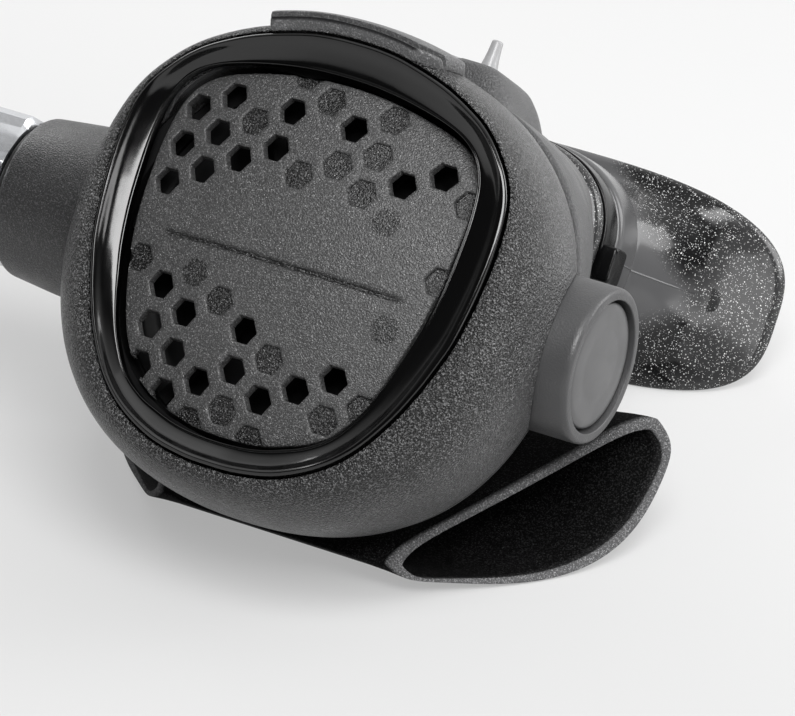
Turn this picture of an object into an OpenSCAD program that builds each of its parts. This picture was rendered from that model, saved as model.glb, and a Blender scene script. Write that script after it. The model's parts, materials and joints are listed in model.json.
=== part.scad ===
// Second stage of a scuba regulator, resting on its exhaust tee and mouthpiece.
//
// Every piece is drawn in the body frame: X to the right, Y back from the purge
// cover to the mouthpiece, Z up along the purge cover. posed() then leans the
// body back until the tee and the mouthpiece flange both touch the floor.

/* [Purge cover] */
// Thickness of the purge cover
cover_t = 1.6; // [1.4:0.1:1.8]
// Radius of the purge cover's dome
dome_r = 90; // [80:1:130]
// Gap round the purge cover
cover_gap = 0.8; // [0.5:0.1:1.1]
// Pitch of the hexagon pattern
hex_pitch = 5.5; // [5.2:0.1:6]
// Width across flats of an open hexagon
hex_open = 3.6; // [3:0.1:4]
// Width across flats of a shallow hexagon
hex_shallow = 3.8; // [3:0.1:4.2]
// Depth of a shallow hexagon
hex_depth = 0.5; // [0.3:0.1:0.9]
// Travel of the purge cover
purge_travel = 1.6; // [1:0.1:1.7]

/* [Ring] */
// Outer radius of the round case wall that the ring sits on
skirt_r = 30.3; // [30:0.1:30.6]
// How far the crease between ring and bezel lies inside that wall
crease_in = 1.4; // [1:0.1:1.8]
// Width of the bezel's channel at its sides
channel_a = 5.5; // [4.6:0.1:6.4]
// Width of the bezel's channel at top and bottom
channel_b = 4.6; // [4:0.1:5.4]
// Width of the ring from its crease to its widest place, at the sides
rim_a = 6.5; // [5.8:0.1:7.4]
// Width of the ring from its crease to its widest place, at top and bottom
rim_b = 4.6; // [4.2:0.1:5.4]
// Depth of the ring's widest place behind the crease
bulge_y = 15.2; // [13:0.1:16]
// Depth of the ring's rear edge
ring_rear = 25.4; // [24.4:0.1:26]
// Length of the clip over the ring
clip_w = 26; // [22:0.5:30]
// Place of the clip's middle
clip_x = -0.5; // [-3:0.5:3]
// Height of the clip over the ring
clip_h = 1.7; // [1.2:0.1:2.4]

/* [Case] */
// Thickness of the case wall
case_t = 2; // [1.6:0.1:2.4]
// How far the case's top line lies below the ring's top
case_drop = 0.4; // [0.2:0.1:1]
// Depth of the neck's end
neck_y = 60; // [58:0.5:64]
// Height of the neck's axis
neck_z = 20.6; // [20:0.1:21.5]
// Half width of the neck
neck_a = 16.2; // [15.6:0.1:16.8]
// Half height of the neck
neck_b = 13.2; // [12.6:0.1:13.6]
// Half width of the housing for the lever
housing_w = 15; // [13:0.5:16]
// Height of the housing above the case's top line
housing_h = 3.4; // [2.8:0.1:4.2]
// Depth of the lever's axis behind the ring
lever_back = 7.1; // [7:0.1:8]

/* [Valve] */
// Depth of the valve axis
valve_y = 24; // [23:0.1:24.6]
// Height of the valve axis
valve_z = 1; // [0.4:0.1:1.6]
// Outer radius of the valve barrel
barrel_r = 6.2; // [5.8:0.1:6.4]
// Bore radius of the valve barrel
barrel_bore = 4.8; // [4.5:0.1:5]
// Length of the barrel sleeve outside the ring
sleeve_l = 14.5; // [12:0.1:18]
// Radius of the sleeve at the ring
sleeve_r = 13; // [12:0.1:13.6]
// Radius of the sleeve at its end
sleeve_tip_r = 11.4; // [10.8:0.1:12.4]
// Width across flats of the inlet hexagon
inlet_af = 20.4; // [19:0.1:21]
// Length of the inlet hexagon
inlet_hex_l = 10; // [8:0.5:14]
// Radius of the inlet's male thread
inlet_thread_r = 7.14; // [6.8:0.02:7.4]
// Length of the inlet's male thread
inlet_thread_l = 10; // [8:0.5:12]
// Bore radius of the inlet
inlet_bore = 3; // [2.4:0.1:3.4]
// Radius of the right side cap
cap_r = 10.9; // [10.4:0.1:11.4]
// Length of the side cap outside the ring
cap_l = 4.3; // [3.4:0.1:6]
// Width of the side cap's rim round its disc
cap_rim = 2.1; // [1.8:0.1:2.6]

/* [Tee] */
// Distance of the tee's front corner behind the ring
tee_gap = 0.6; // [0.3:0.1:1.2]
// Length of the tee's flat upper side
tee_chord = 39.8; // [38:0.2:42]
// Rise of the tee's upper side, degrees
tee_rise = 52.5; // [51:0.5:54]
// Depth of the tee below its upper side
tee_depth = 10.5; // [9.8:0.1:11.4]
// Half width of the tee at its front corner
tee_w = 16.8; // [15:0.1:19]
// Widening of the tee's half width per millimetre of depth
tee_flare = 1; // [0.92:0.01:1.06]
// Wall of the tee
tee_t = 1.7; // [1.4:0.1:2]

/* [Mouthpiece] */
// Tilt of the mouthpiece against the body, degrees
mouth_tilt = 3; // [0:0.5:6]
// Half width of the mouthpiece collar
collar_a = 17.7; // [17.3:0.1:18.3]
// Half height of the mouthpiece collar
collar_b = 14.2; // [13.9:0.1:14.8]
// Half width of the flange
flange_a = 34; // [31:0.2:36]
// Half height of the flange
flange_b = 15.9; // [15:0.1:16.6]
// Distance of the flange behind the neck's end
flange_y = 25; // [24:0.2:28]
// Thickness of the flange
flange_t = 2.2; // [1.8:0.1:2.8]
// Bend of the flange, in millimetres per square millimetre
flange_bow = 0.0062; // [0.004:0.0002:0.008]
// Half width of the mouthpiece bore
bore_a = 12; // [11:0.1:12.4]
// Half height of the mouthpiece bore
bore_b = 8.2; // [7.6:0.1:8.6]
// Length of the bite tabs
tab_l = 12; // [10:0.5:14]

/* [Hidden] */

$fn = 64;
seg = 60;             // points round each surface
fit = 0.1;            // clearance of a fixed round fit
slip = 0.05;          // radial clearance of a running fit
loose = 0.3;          // clearance between pieces that pass each other
over = 0.01;          // overshoot of a cut or of a joint between two solids
steel = "silver";
dark = [0.16, 0.16, 0.17];
satin = [0.3, 0.3, 0.31];
gloss = [0.05, 0.05, 0.06];
soft = [0.22, 0.22, 0.24];

// ---- sizes that follow from the ones above -----------------------------------

crease_a = skirt_r - crease_in;
crease_b = crease_a + 0.1;
cover_a = crease_a - channel_a;
cover_b = crease_b - channel_b;
bulge_a = crease_a + rim_a;
bulge_b = crease_b + rim_b;
case_top = bulge_b - case_drop;
housing_z = case_top + housing_h;
lever_y = ring_rear + lever_back;
sleeve_end = bulge_a + sleeve_l;
cap_end = bulge_a + cap_l;
tee_y = ring_rear + tee_gap;
tee_z = 0.2 - bulge_b;
disc_r = cap_r - cap_rim;     // radius of the disc in the side cap
skirt_in = skirt_r - case_t;  // inside radius of the round wall

// Places along the valve axis, from the right
cap_sink = 1.3;               // how far the side cap reaches inside the round wall
cap_x0 = skirt_in - cap_sink; // inner end of the side cap
barrel_gap = 1;               // gap between the side cap and the valve barrel
barrel_x1 = cap_x0 - barrel_gap;
nut_room = 8.8;               // depth of the barrel's chamber for the poppet's nut
wall_x = barrel_x1 - nut_room; // the wall that the poppet's spring stands on
wall_t = 1;                   // thickness of that wall
hinge_in = 7;                 // how far the demand lever's hinge lies inside the side cap
lever_x = cap_x0 - hinge_in;  // the demand lever's hinge on the valve axis
sleeve_sink = 0.9;            // how far the sleeve reaches into the round wall
sleeve_x0 = skirt_r - sleeve_sink; // inner end of the sleeve

// ---- helpers ---------------------------------------------------------------

function spow(v, e) = sign(v) * pow(abs(v), e);

// One closed ring of a rounded shape: half sizes a and b, centre height zc, and
// exponents n_up and n_low of its upper and lower half. bow bends it back.
function oval(y, a, b, zc, n_up, n_low, bow = 0) =
    [for (i = [0:seg - 1]) let (t = 360 * i / seg, e = 2 / (sin(t) >= 0 ? n_up : n_low),
        x = a * spow(cos(t), e)) [x, y + bow * x * x, zc + b * spow(sin(t), e)]];

// The ring of the purge cover's outline, made larger by grow
function cover_ring(y, grow) = oval(y, cover_a + grow, cover_b + grow, -0.3, 5, 2.3);

// The ring of the crease, made larger by grow
function crease_ring(y, grow) = oval(y, crease_a + grow, crease_b + grow, 1.1, 2.5, 2.5);

// Rings of points joined into a closed loop, outer front first, inner front last
module loop_skin(rings) {
    n = len(rings[0]);
    m = len(rings);
    polyhedron([for (r = rings) for (p = r) p],
        [for (j = [0:m - 1], i = [0:n - 1]) let (k = (j + 1) % m, l = (i + 1) % n)
            for (f = [[j * n + i, j * n + l, k * n + l], [j * n + i, k * n + l, k * n + i]]) f],
        convexity = 8);
}

// Rings of points from front to back, closed with a fan at each end
module solid_skin(rings) {
    n = len(rings[0]);
    m = len(rings);
    mid = function (r) [for (k = [0:2]) let (s = [for (p = r) p[k]]) (max(s) + min(s)) / 2];
    polyhedron(concat([for (r = rings) for (p = r) p], [mid(rings[0]), mid(rings[m - 1])]),
        concat([for (j = [0:m - 2], i = [0:n - 1]) let (l = (i + 1) % n)
                for (f = [[j * n + i, j * n + l, (j + 1) * n + l],
                    [j * n + i, (j + 1) * n + l, (j + 1) * n + i]]) f],
            [for (i = [0:n - 1]) [m * n, (i + 1) % n, i]],
            [for (i = [0:n - 1]) [m * n + 1, (m - 1) * n + i, (m - 1) * n + (i + 1) % n]]),
        convexity = 6);
}

// A spring of round wire along +Z from its centre line's start, with its turns'
// radius changing from r0 to r1
function coil_ring(h, r0, r1, turns, wire, s) =
    let (u = 360 * turns * s, r = r0 + (r1 - r0) * s)
    [for (k = [0:5]) let (v = 60 * k) [(r + wire / 2 * cos(v)) * cos(u),
        (r + wire / 2 * cos(v)) * sin(u), h * s + wire / 2 * sin(v)]];
module coil(h, r0, r1, turns, wire) {
    turn = 12;                // rings in one turn
    steps = turn * turns;
    rings = [for (j = [0:steps]) coil_ring(h, r0, r1, turns, wire, j / steps)];
    solid_skin(rings);
    middle = [for (r = rings) (r[0] + r[3]) / 2];
    echo(spring_gap = min([for (j = [0:steps - turn], k = [j + turn / 2:min(steps, j + 2 * turn)])
        norm(middle[k] - middle[j])]) - wire);
}

// Turns a solid along Z so that it runs along +Y or +X
module along_y() rotate([-90, 0, 0]) children();
module along_x() rotate([0, 90, 0]) children();
module at_valve() translate([0, valve_y, valve_z]) children();

// A disc or tube round the purge axis, from depth y0 to y1
module disc_y(y0, y1, r) translate([0, y0, 0]) along_y() cylinder(h = y1 - y0, r = r);
// A disc or tube round the valve axis, from x0 to x1
module disc_x(x0, x1, r, r_end = 0) at_valve() translate([x0, 0, 0])
    along_x() cylinder(h = x1 - x0, r1 = r, r2 = r_end == 0 ? r : r_end);

// ---- places worked out from the sizes ---------------------------------------

// Rings of the front ring's outside: from the crease out to the bulge, and in again
bulge_steps = 6;
function bulge_ring(s) = let (w = sin(12 + 78 * s), f = (w - sin(12)) / (1 - sin(12)))
    oval(0.5 + (bulge_y - 0.5) * (1 - cos(90 * s)), crease_a + (bulge_a - crease_a) * f,
        crease_b + (bulge_b - crease_b) * f, 1.1 * (1 - s) - 0.3 * s,
        2.5 - 0.3 * s, 2.5 - 0.3 * s);
function rear_ring(s) = oval(bulge_y + (ring_rear - bulge_y) * s,
    bulge_a - 2.6 * s * s, bulge_b - 1.4 * s * s, -0.3, 2.2, 2.2);
ring_outer = concat([for (j = [0:bulge_steps]) bulge_ring(j / bulge_steps)],
    [for (j = [1:3]) rear_ring(j / 3)]);

// Depths of the parts that lie one behind the other inside the ring
bezel_seat = 3.2;             // where the bezel sits on the ring's lip
lip_t = 1.2;                  // thickness of that lip
skirt_y = bezel_seat + lip_t; // front edge of the case's round wall
rim_y = 9.4;                  // front of the diaphragm's rim
rim_t = 1.5;                  // thickness of the diaphragm's rim
ledge_w = 2.4;                // width of the ledge behind the rim
cup_y = 7.8;                  // front face of the inner cover's cup
cup_t = 0.7;                  // thickness of that cup
disc_front = 8.9;             // front of the diaphragm's disc
disc_t = 1.5;                 // thickness of the diaphragm's disc
disc_rim = 8.5;               // radius of the diaphragm's disc
plunger_r = 4;                // radius of the purge cover's plunger
cover_room = rim_y - 0.8;     // depth kept free for the purge cover's corners

// The tee: its section's frame, with s along the upper side and d out of it
tee_dir = [cos(tee_rise), sin(tee_rise)];
tee_out = [sin(tee_rise), -cos(tee_rise)];
function tee_point(s, d) = [tee_y + s * tee_dir[0] + d * tee_out[0],
    tee_z + s * tee_dir[1] + d * tee_out[1]];
function tee_section(inset) = [for (i = [seg - 1:-1:0]) let (t = 360 * i / seg,
    s = tee_chord / 2 - (tee_chord / 2 - 2.2 * inset) * cos(t),
    d = inset + (sin(t) > 0 ? -0.9 * pow(sin(t), 0.6)
        : (tee_depth - 2 * inset) * pow(-sin(t), 1.7))) tee_point(s, d)];
function tee_half(y) = tee_w + tee_flare * (y - tee_y);
function tee_ring(u, inset, grow) = [for (p = tee_section(inset))
    [u * (tee_half(p[0]) + grow), p[0], p[1]]];
port_s = tee_chord * 0.47;    // place of the exhaust port along the tee's upper side
port_r = 9.4;                 // radius of the exhaust port in the case
port_at = tee_point(port_s, 0);

// The mouthpiece: rings in its own frame, whose Y runs back from the neck's end
lip_l = 1.6;                  // the lip in front of the strap's groove
groove_y = 3.2;               // front of the strap's groove
groove_l = 5;                 // width of the strap's groove
groove_d = 1.6;               // depth of the groove below the collar
collar_y = groove_y + groove_l;
collar_l = 7.6;
flange_n = 3.2;
function mouth_ring(y, a, b, bow = 0, n = 2.4) = oval(y, a, b, 0, n, n, bow);
flange_front = mouth_ring(flange_y, flange_a - 0.7, flange_b - 0.7, flange_bow, flange_n);
flange_edge = mouth_ring(flange_y + flange_t / 2, flange_a, flange_b, flange_bow, flange_n);
flange_back = mouth_ring(flange_y + flange_t, flange_a - 0.7, flange_b - 0.7, flange_bow,
    flange_n);
tab_in = 14;                  // inner side of a bite tab
tab_out = 27;                 // outer side of a bite tab
tab_t = 4;                    // thickness of a bite tab
ridge_h = 8;                  // height of the ridge across a bite tab's end
function to_body(p) = let (c = cos(mouth_tilt), s = sin(mouth_tilt))
    [p[0], neck_y + p[1] * c - p[2] * s, neck_z + p[1] * s + p[2] * c];
module mouth_frame() translate([0, neck_y, neck_z]) rotate([mouth_tilt, 0, 0]) children();

// The lean at which tee and flange both touch the floor, and the body's place
function row_y(p, a) = p[0] * cos(a) + p[1] * sin(a);
function row_z(p, a) = -p[0] * sin(a) + p[1] * cos(a);
function low(points, a) = min([for (p = points) row_z(p, a)]);
tee_feet = tee_section(0);
flange_feet = [for (r = [flange_front, flange_edge, flange_back], p = r)
    let (q = to_body(p)) [q[1], q[2]]];
function settle(a, k) = k == 0 ? a : let (gap = low(flange_feet, a) - low(tee_feet, a))
    settle(a + atan(gap / (neck_y + flange_y - tee_y)), k - 1);
lean = settle(40, 8);
floor_h = -low(tee_feet, lean);
tab_end = [for (z = [-ridge_h / 2, ridge_h / 2])
    let (q = to_body([0, flange_y + flange_t + flange_bow * tab_in * tab_in + tab_l, z]))
    row_y([q[1], q[2]], lean)];
back_reach = max(concat(tab_end, [for (p = flange_feet) row_y(p, lean)]));
front_reach = min([for (r = ring_outer, p = r) row_y([p[1], p[2]], lean)]);
inlet_end = sleeve_end + 1 + inlet_hex_l + inlet_thread_l;
tee_reach = max([for (p = tee_section(0)) tee_half(p[0])]);
origin_x = (inlet_end - max(cap_end, tee_reach)) / 2;
origin_y = -(front_reach + back_reach) / 2;
module posed() translate([origin_x, origin_y, floor_h]) rotate([-lean, 0, 0]) children();

// ---- casing ----------------------------------------------------------------

// Top and bottom line of the case behind the ring, and its half width, by depth
case_y = [ring_rear + 0.1, 28, 33, 38, 43, 48, 53, 57, neck_y];
case_share = [for (y = case_y) (y - case_y[0]) / (neck_y - case_y[0])];
function case_half(u) = neck_a + (bulge_a - 2.6 - neck_a) * pow(1 - pow(u, 1.5), 1.1);
function case_low(y, u) = let (chord = tee_z + (y - tee_y) * tan(tee_rise) + 1.8)
    min(neck_z - neck_b, chord + 1.2 * u);
function case_ring(y, u, inset) = let (top = case_top + (neck_z + neck_b - case_top) * u,
    bottom = case_low(y, u)) oval(y, case_half(u) - inset, (top - bottom) / 2 - inset,
        (top + bottom) / 2, 2.3, 2.3);
spigot_l = 7.5;               // length of the neck's spigot inside the mouthpiece
spigot_a = neck_a - 2.4;
spigot_b = neck_b - 2.4;

module rear_case() color(satin) {
    last = len(case_y) - 2;
    neck = function (y, a, b) [for (p = mouth_ring(y, a, b)) to_body(p)];
    rings = concat(
        [oval(skirt_y, skirt_r, skirt_r, 0, 2, 2),
            oval(ring_rear + 0.1, skirt_r, skirt_r, 0, 2, 2)],
        [for (j = [0:last]) case_ring(case_y[j], case_share[j], 0)],
        [neck(0, neck_a, neck_b), neck(0, spigot_a, spigot_b),
            neck(spigot_l, spigot_a, spigot_b),
            neck(spigot_l, spigot_a - case_t, spigot_b - case_t),
            neck(0, spigot_a - case_t, spigot_b - case_t)],
        [for (j = [last:-1:1]) case_ring(case_y[j], case_share[j], case_t + 0.4)],
        [oval(ring_rear + 1, skirt_in - ledge_w, skirt_in - ledge_w, 0, 2, 2),
            oval(rim_y + rim_t, skirt_in - ledge_w, skirt_in - ledge_w, 0, 2, 2),
            oval(rim_y + rim_t, skirt_in, skirt_in, 0, 2, 2),
            oval(skirt_y, skirt_in, skirt_in, 0, 2, 2)]);
    difference() {
        union() {
            loop_skin(rings);
            lever_housing();
            seat_boss();
        }
        disc_x(-bulge_a, fit - sleeve_x0, sleeve_r + fit);
        disc_x(-bulge_a, bulge_a, barrel_r + fit);
        disc_x(cap_x0 - fit, bulge_a, cap_r + fit);
        outline_prism(cover_ring(0, cover_gap), 0, cover_room);
        lever_pocket();
        translate([0, port_at[0], port_at[1]]) rotate([tee_rise, 0, 0])
            cylinder(h = 30, r = port_r + fit, center = true);
    }
}

// The raised housing on the case's top that holds the lever's disc
lever_disc_r = 7;           // radius of the lever's disc
lever_disc_t = 1.4;           // thickness of the lever's disc
lever_shaft_r = 1.6;          // radius of the lever's shaft
module lever_housing() {
    hull() {
        translate([-housing_w, ring_rear + 0.1, case_top - 6]) cube([2 * housing_w, 18, 1]);
        translate([-housing_w + 5.5, ring_rear + 0.1, housing_z - 1])
            cube([2 * housing_w - 11, 15.5, 1]);
    }
}
module lever_pocket() translate([0, lever_y, 0]) {
    translate([0, 0, housing_z - lever_disc_t - loose])
        cylinder(h = 4, r = lever_disc_r + loose);
    cylinder(h = housing_z + 1, r = lever_shaft_r + slip);
}

// The seat that carries the exhaust valve, standing on the case's underside
module seat_boss() translate([0, port_at[0], port_at[1]]) rotate([tee_rise, 0, 0])
    translate([0, 0, -0.5]) cylinder(h = 5, r = port_r + 2);

// The ring, with a notch on each side for the sleeve and the side cap
module front_ring() color(dark) {
    difference() {
        loop_skin(concat(ring_outer,
            [oval(ring_rear, skirt_r + fit, skirt_r + fit, 0, 2, 2),
                oval(skirt_y, skirt_r + fit, skirt_r + fit, 0, 2, 2),
                cover_ring(skirt_y, cover_gap + 1.6),
                cover_ring(bezel_seat, cover_gap + 1.6),
                crease_ring(bezel_seat, -0.7)]));
        side_notch(-1, sleeve_r + loose);
        side_notch(1, cap_r + loose);
    }
}
module side_notch(side, r) {
    x0 = side > 0 ? 8 : -bulge_a - 8;
    disc_x(x0, x0 + bulge_a, r);
}

// The glossy channel between the ring and the purge cover
module gloss_bezel() color(gloss)
    loop_skin([crease_ring(0, -1), crease_ring(0.9, -0.85), crease_ring(bezel_seat, -0.85),
        cover_ring(bezel_seat, cover_gap), cover_ring(2.4, cover_gap),
        channel_ring(1.5, 0.3), channel_ring(0.9, 0.65), channel_ring(-0.2, 1)]);
// A ring of the bezel's channel, at a share of the way from cover to crease
function channel_ring(y, share) = let (inner = cover_ring(y, cover_gap),
    outer = crease_ring(y, -1.9)) (1 - share) * inner + share * outer;

// The clip over the ring's top: the ring's own surface lifted by clip_h
function clip_ring(t, lift0, lift1) =
    let (spots = [for (s = [0.14, 0.28, 0.42, 0.56, 0.7]) bulge_spot(s, t)])
    concat([for (p = spots) lifted(p, t, lift1)], [for (p = reverse(spots)) lifted(p, t, lift0)]);
function reverse(v) = [for (i = [len(v) - 1:-1:0]) v[i]];
function on_oval(y, a, b, zc, n, t) = [a * spow(cos(t), 2 / n), y, zc + b * spow(sin(t), 2 / n)];
function bulge_spot(s, t) = let (w = sin(12 + 78 * s), f = (w - sin(12)) / (1 - sin(12)))
    on_oval(0.5 + (bulge_y - 0.5) * (1 - cos(90 * s)), crease_a + (bulge_a - crease_a) * f,
        crease_b + (bulge_b - crease_b) * f, 1.1 * (1 - s) - 0.3 * s, 2.5 - 0.3 * s, t);
function lifted(p, t, lift) = let (back = (p[1] - bulge_y) / bulge_y)
    p + lift * [cos(t), min(0, back) * 0.8, sin(t)];
module top_clip() color(satin) {
    half = asin(clip_w / 2 / bulge_b);
    middle = 90 - asin(clip_x / bulge_b);
    steps = 10;
    rings = [for (j = [0:steps]) clip_ring(middle + half - 2 * half * j / steps, 0.15, clip_h)];
    solid_skin(rings);
}

// ---- purge mechanism --------------------------------------------------------

// The part of the dome between its outside and a depth below it
module dome_shell(depth, t) difference() {
    translate([0, dome_r, 0]) sphere(r = dome_r - depth, $fn = 96);
    translate([0, dome_r, 0]) sphere(r = dome_r - depth - t, $fn = 96);
}
module outline_prism(ring, y0, y1) translate([0, y1, 0]) rotate([90, 0, 0])
    linear_extrude(y1 - y0) polygon([for (p = ring) [p[0], p[2]]]);
hex_x0 = -15.7;               // place of the hexagon pattern's first cell
hex_z0 = 8.6;                 // its height
module hexagon(i, j, af) {
    x = hex_x0 + i * hex_pitch * cos(30);
    z = hex_z0 + (i / 2 + j) * hex_pitch;
    translate([x, -cover_t, z]) along_y()
        cylinder(h = cover_room + 2 * cover_t, r = af / 2 / cos(30), $fn = 6);
}
open_cells = [[0, 0], [1, 0], [2, 0], [4, 0], [0, 1], [2, 1], [6, -2], [7, -2], [-1, 0],
    [-1, 1], [-1, 2], [0, 2], [0, -3], [1, -4], [0, -4], [1, -5], [3, -5], [3, -6], [2, -6],
    [4, -7], [5, -7], [6, -7], [1, -6], [0, -5]];
shallow_cells = [[1, 1], [3, 1], [5, 0], [3, -1], [4, -1], [5, -1], [5, -2], [2, -4],
    [4, -6], [3, -7], [6, -8]];
module purge_cover() color(satin) {
    difference() {
        intersection() {
            dome_shell(0, cover_t);
            outline_prism(cover_ring(0, 0), -1, cover_room);
        }
        for (c = open_cells) hexagon(c[0], c[1], hex_open);
        intersection() {
            dome_shell(-1, 1 + hex_depth);
            for (c = shallow_cells) hexagon(c[0], c[1], hex_shallow);
        }
    }
    disc_y(cover_t - 0.2, disc_front - loose, plunger_r);
}

// The cover behind the purge cover: rim, spokes and a cup that carries the spring
cup_r = 10.5;
module inner_cover() color(dark) difference() {
    union() {
        difference() {
            disc_y(skirt_y + 0.4, rim_y, skirt_in - fit);
            disc_y(skirt_y, rim_y + 1, skirt_in - 2.6);
        }
        disc_y(cup_y, cup_y + cup_t, cup_r);
        for (k = [0:5]) rotate([0, 60 * k, 0])
            translate([cup_r - 1, cup_y, -1]) cube([skirt_in - 1 - cup_r, cup_t, 2]);
    }
    disc_y(cup_y - 1, cup_y + 2, plunger_r + loose);
    difference() {
        outline_prism(cover_ring(0, cover_gap), 0, cover_room);
        disc_y(-over, cover_room + 1, skirt_in - 2.7);
    }
}

purge_wire = 0.5;             // wire of the purge spring
purge_coil_r0 = 5.2;          // radius of its first turn
purge_coil_r1 = 8.8;          // radius of its last turn
purge_play = 0.2;             // gap at each of its ends
module purge_spring() color(steel) translate([0, cover_t + purge_wire / 2 + purge_play, 0])
    along_y() coil(cup_y - cover_t - purge_wire - 2 * purge_play, purge_coil_r0,
        purge_coil_r1, 3, purge_wire);

module diaphragm() color(soft) translate([0, rim_y, 0]) along_y() rotate_extrude()
    polygon([[disc_rim - 1, 0], [disc_rim + 3, 0], [disc_rim + 5, 1], [skirt_in - 6, 1],
        [skirt_in - 4.5, 0], [skirt_in - fit, 0], [skirt_in - fit, rim_t], [skirt_in - 3, rim_t],
        [skirt_in - 4.2, 0.7], [skirt_in - 6, 1.7], [disc_rim + 5, 1.7], [disc_rim + 3, 0.5],
        [disc_rim - 1, 0.5]]);

module diaphragm_disc() color(steel) {
    disc_y(disc_front, disc_front + 0.4, disc_rim);
    disc_y(disc_front + 0.4, disc_front + 1.1, disc_rim - 1.1);
    disc_y(disc_front + 1.1, disc_front + 1.1 + 0.4, disc_rim);
}

// ---- demand valve -----------------------------------------------------------

foot_r = 1;                   // radius of the lever's feet
leg_z = barrel_r + 0.9;       // where the lever's legs run beside the barrel
leg_t = 0.9;                  // thickness of the lever's sheet
pad_y = disc_front + disc_t + 0.1;
tongue_y = pad_y + leg_t;
bar_l = 9;                    // length of the lever's legs
module demand_lever() color(steel) {
    bar_x = lever_x - bar_l;
    translate([0, 0, valve_z]) for (side = [-1, 1]) {
        translate([lever_x, valve_y, side > 0 ? 2.6 : -leg_z - leg_t])
            cylinder(h = leg_z + leg_t - 2.6, r = foot_r);
        translate([0, 0, side > 0 ? leg_z : -leg_z - leg_t]) linear_extrude(leg_t)
            polygon([[lever_x - 1.6, valve_y + 1.5], [lever_x + 1.6, valve_y + 1.5],
                [lever_x + 1.6, valve_y - 2], [bar_x + 4, tongue_y], [bar_x, tongue_y],
                [bar_x, tongue_y + leg_t], [bar_x + 3, tongue_y + leg_t]]);
    }
    translate([bar_x, tongue_y, valve_z - leg_z - leg_t])
        cube([3, leg_t, 2 * (leg_z + leg_t)]);
    translate([-0.4, tongue_y, -3]) cube([bar_x + 0.4 + over, leg_t, 6]);
    translate([-2.5, pad_y, -3]) cube([3, leg_t, 6]);
    translate([-0.4, pad_y + over, -3]) cube([0.9, 2 * (leg_t - over), 6]);
}

sleeve_out = bulge_a - 3.4;   // where the sleeve's slope starts
sleeve_mid = bulge_a + 5.6;   // where the sleeve's slope changes
module barrel_sleeve() color(satin) at_valve() rotate([0, -90, 0]) rotate_extrude()
    polygon(concat([[barrel_r + fit, sleeve_x0], [sleeve_r, sleeve_x0],
        [sleeve_r, sleeve_out], [(sleeve_r + sleeve_tip_r) / 2 + 0.2, sleeve_mid]],
        [for (a = [0:15:90]) [sleeve_tip_r - 1.2 + 1.2 * cos(a),
            sleeve_end - 1.2 + 1.2 * sin(a)]],
        [[barrel_r + fit, sleeve_end]]));

// The valve's own tube, along the whole of the body
barrel_x0 = -sleeve_end + 0.4;
stem_r = 1.6;                 // radius of the poppet's stem
nut_bore = 3.4;               // radius of the barrel's chamber for the nut
air_x = -6;                   // place of the barrel's air hole
air_r = 2.6;                  // radius of that hole
spigot_r = 4.7;               // radius of the inlet's spigot
module valve_barrel() color(steel) difference() {
    disc_x(barrel_x0, barrel_x1, barrel_r);
    disc_x(barrel_x0 - 1, wall_x - wall_t, barrel_bore);
    disc_x(wall_x - 2 * wall_t, barrel_x1 + 1, stem_r + slip);
    disc_x(wall_x, barrel_x1 + 1, nut_bore);
    at_valve() translate([lever_x, 0, -10]) cylinder(h = 20, r = foot_r + slip);
    at_valve() translate([air_x, 0, 0]) along_y() cylinder(h = 2 * barrel_r, r = air_r);
}

edge_in = 32;                 // distance of the knife edge from the lever's hinge
orifice_x = lever_x - edge_in; // the knife edge that the seat closes
orifice_in = 15.9;            // how far the orifice tube starts inside the sleeve's end
orifice_x0 = -sleeve_end + orifice_in;
edge_l = 1;                   // length of the knife edge's cone
groove_w = 1;                 // width of the grooves for the o-rings
groove_in0 = 3;               // distance of the first groove from the tube's start
groove_in1 = 8;               // distance of the second groove from the knife edge
grooves = [orifice_x0 + groove_in0, orifice_x - groove_in1];
seal_r = 0.35;                // radius of an o-ring's cord
orifice_bore = 1.9;
module orifice_tube() color(steel) difference() {
    union() {
        disc_x(orifice_x0, orifice_x - edge_l, barrel_bore - slip);
        disc_x(orifice_x - edge_l, orifice_x, orifice_bore + 1.3, orifice_bore + 0.5);
    }
    disc_x(orifice_x0 - 1, orifice_x + 1, orifice_bore);
    for (x = grooves) at_valve() translate([x, 0, 0]) along_x() groove_cut(groove_w);
}
module groove_cut(w) rotate_extrude() translate([barrel_bore - 2 * seal_r - fit, 0])
    square([3, w]);

seat_t = 2.2;                 // depth of the seat in the poppet's face
seat_r = 3.4;                 // radius of that seat
poppet_l = 7;                 // length of the poppet's head
stem_l = 4.6;                 // how far the poppet's stem passes the lever's hinge
poppet_x = orifice_x + seat_t; // front face of the poppet's head
module poppet() color(dark) {
    disc_x(poppet_x, poppet_x + poppet_l, barrel_bore - slip);
    disc_x(poppet_x + poppet_l - over, lever_x + stem_l, stem_r);
}
module poppet_seat() color(soft) disc_x(orifice_x + slip, poppet_x, seat_r);

poppet_wire = 0.7;            // wire of the poppet's spring
poppet_coil_r = 3.4;          // radius of its turns
module poppet_spring() color(steel) {
    start = poppet_x + poppet_l + poppet_wire / 2 + fit;
    at_valve() translate([start, 0, 0]) along_x() coil(wall_x - wall_t - poppet_wire / 2 - fit
        - start, poppet_coil_r, poppet_coil_r, 8, poppet_wire);
}

nut_t = 2.2;                  // thickness of the poppet's nut
nut_r = 3;                    // radius of the nut over its corners
module poppet_nut() color(steel) difference() {
    at_valve() translate([lever_x + foot_r + slip, 0, 0]) along_x()
        cylinder(h = nut_t, r = nut_r, $fn = 6);
    disc_x(lever_x, lever_x + 5, stem_r + slip);
}

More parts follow.
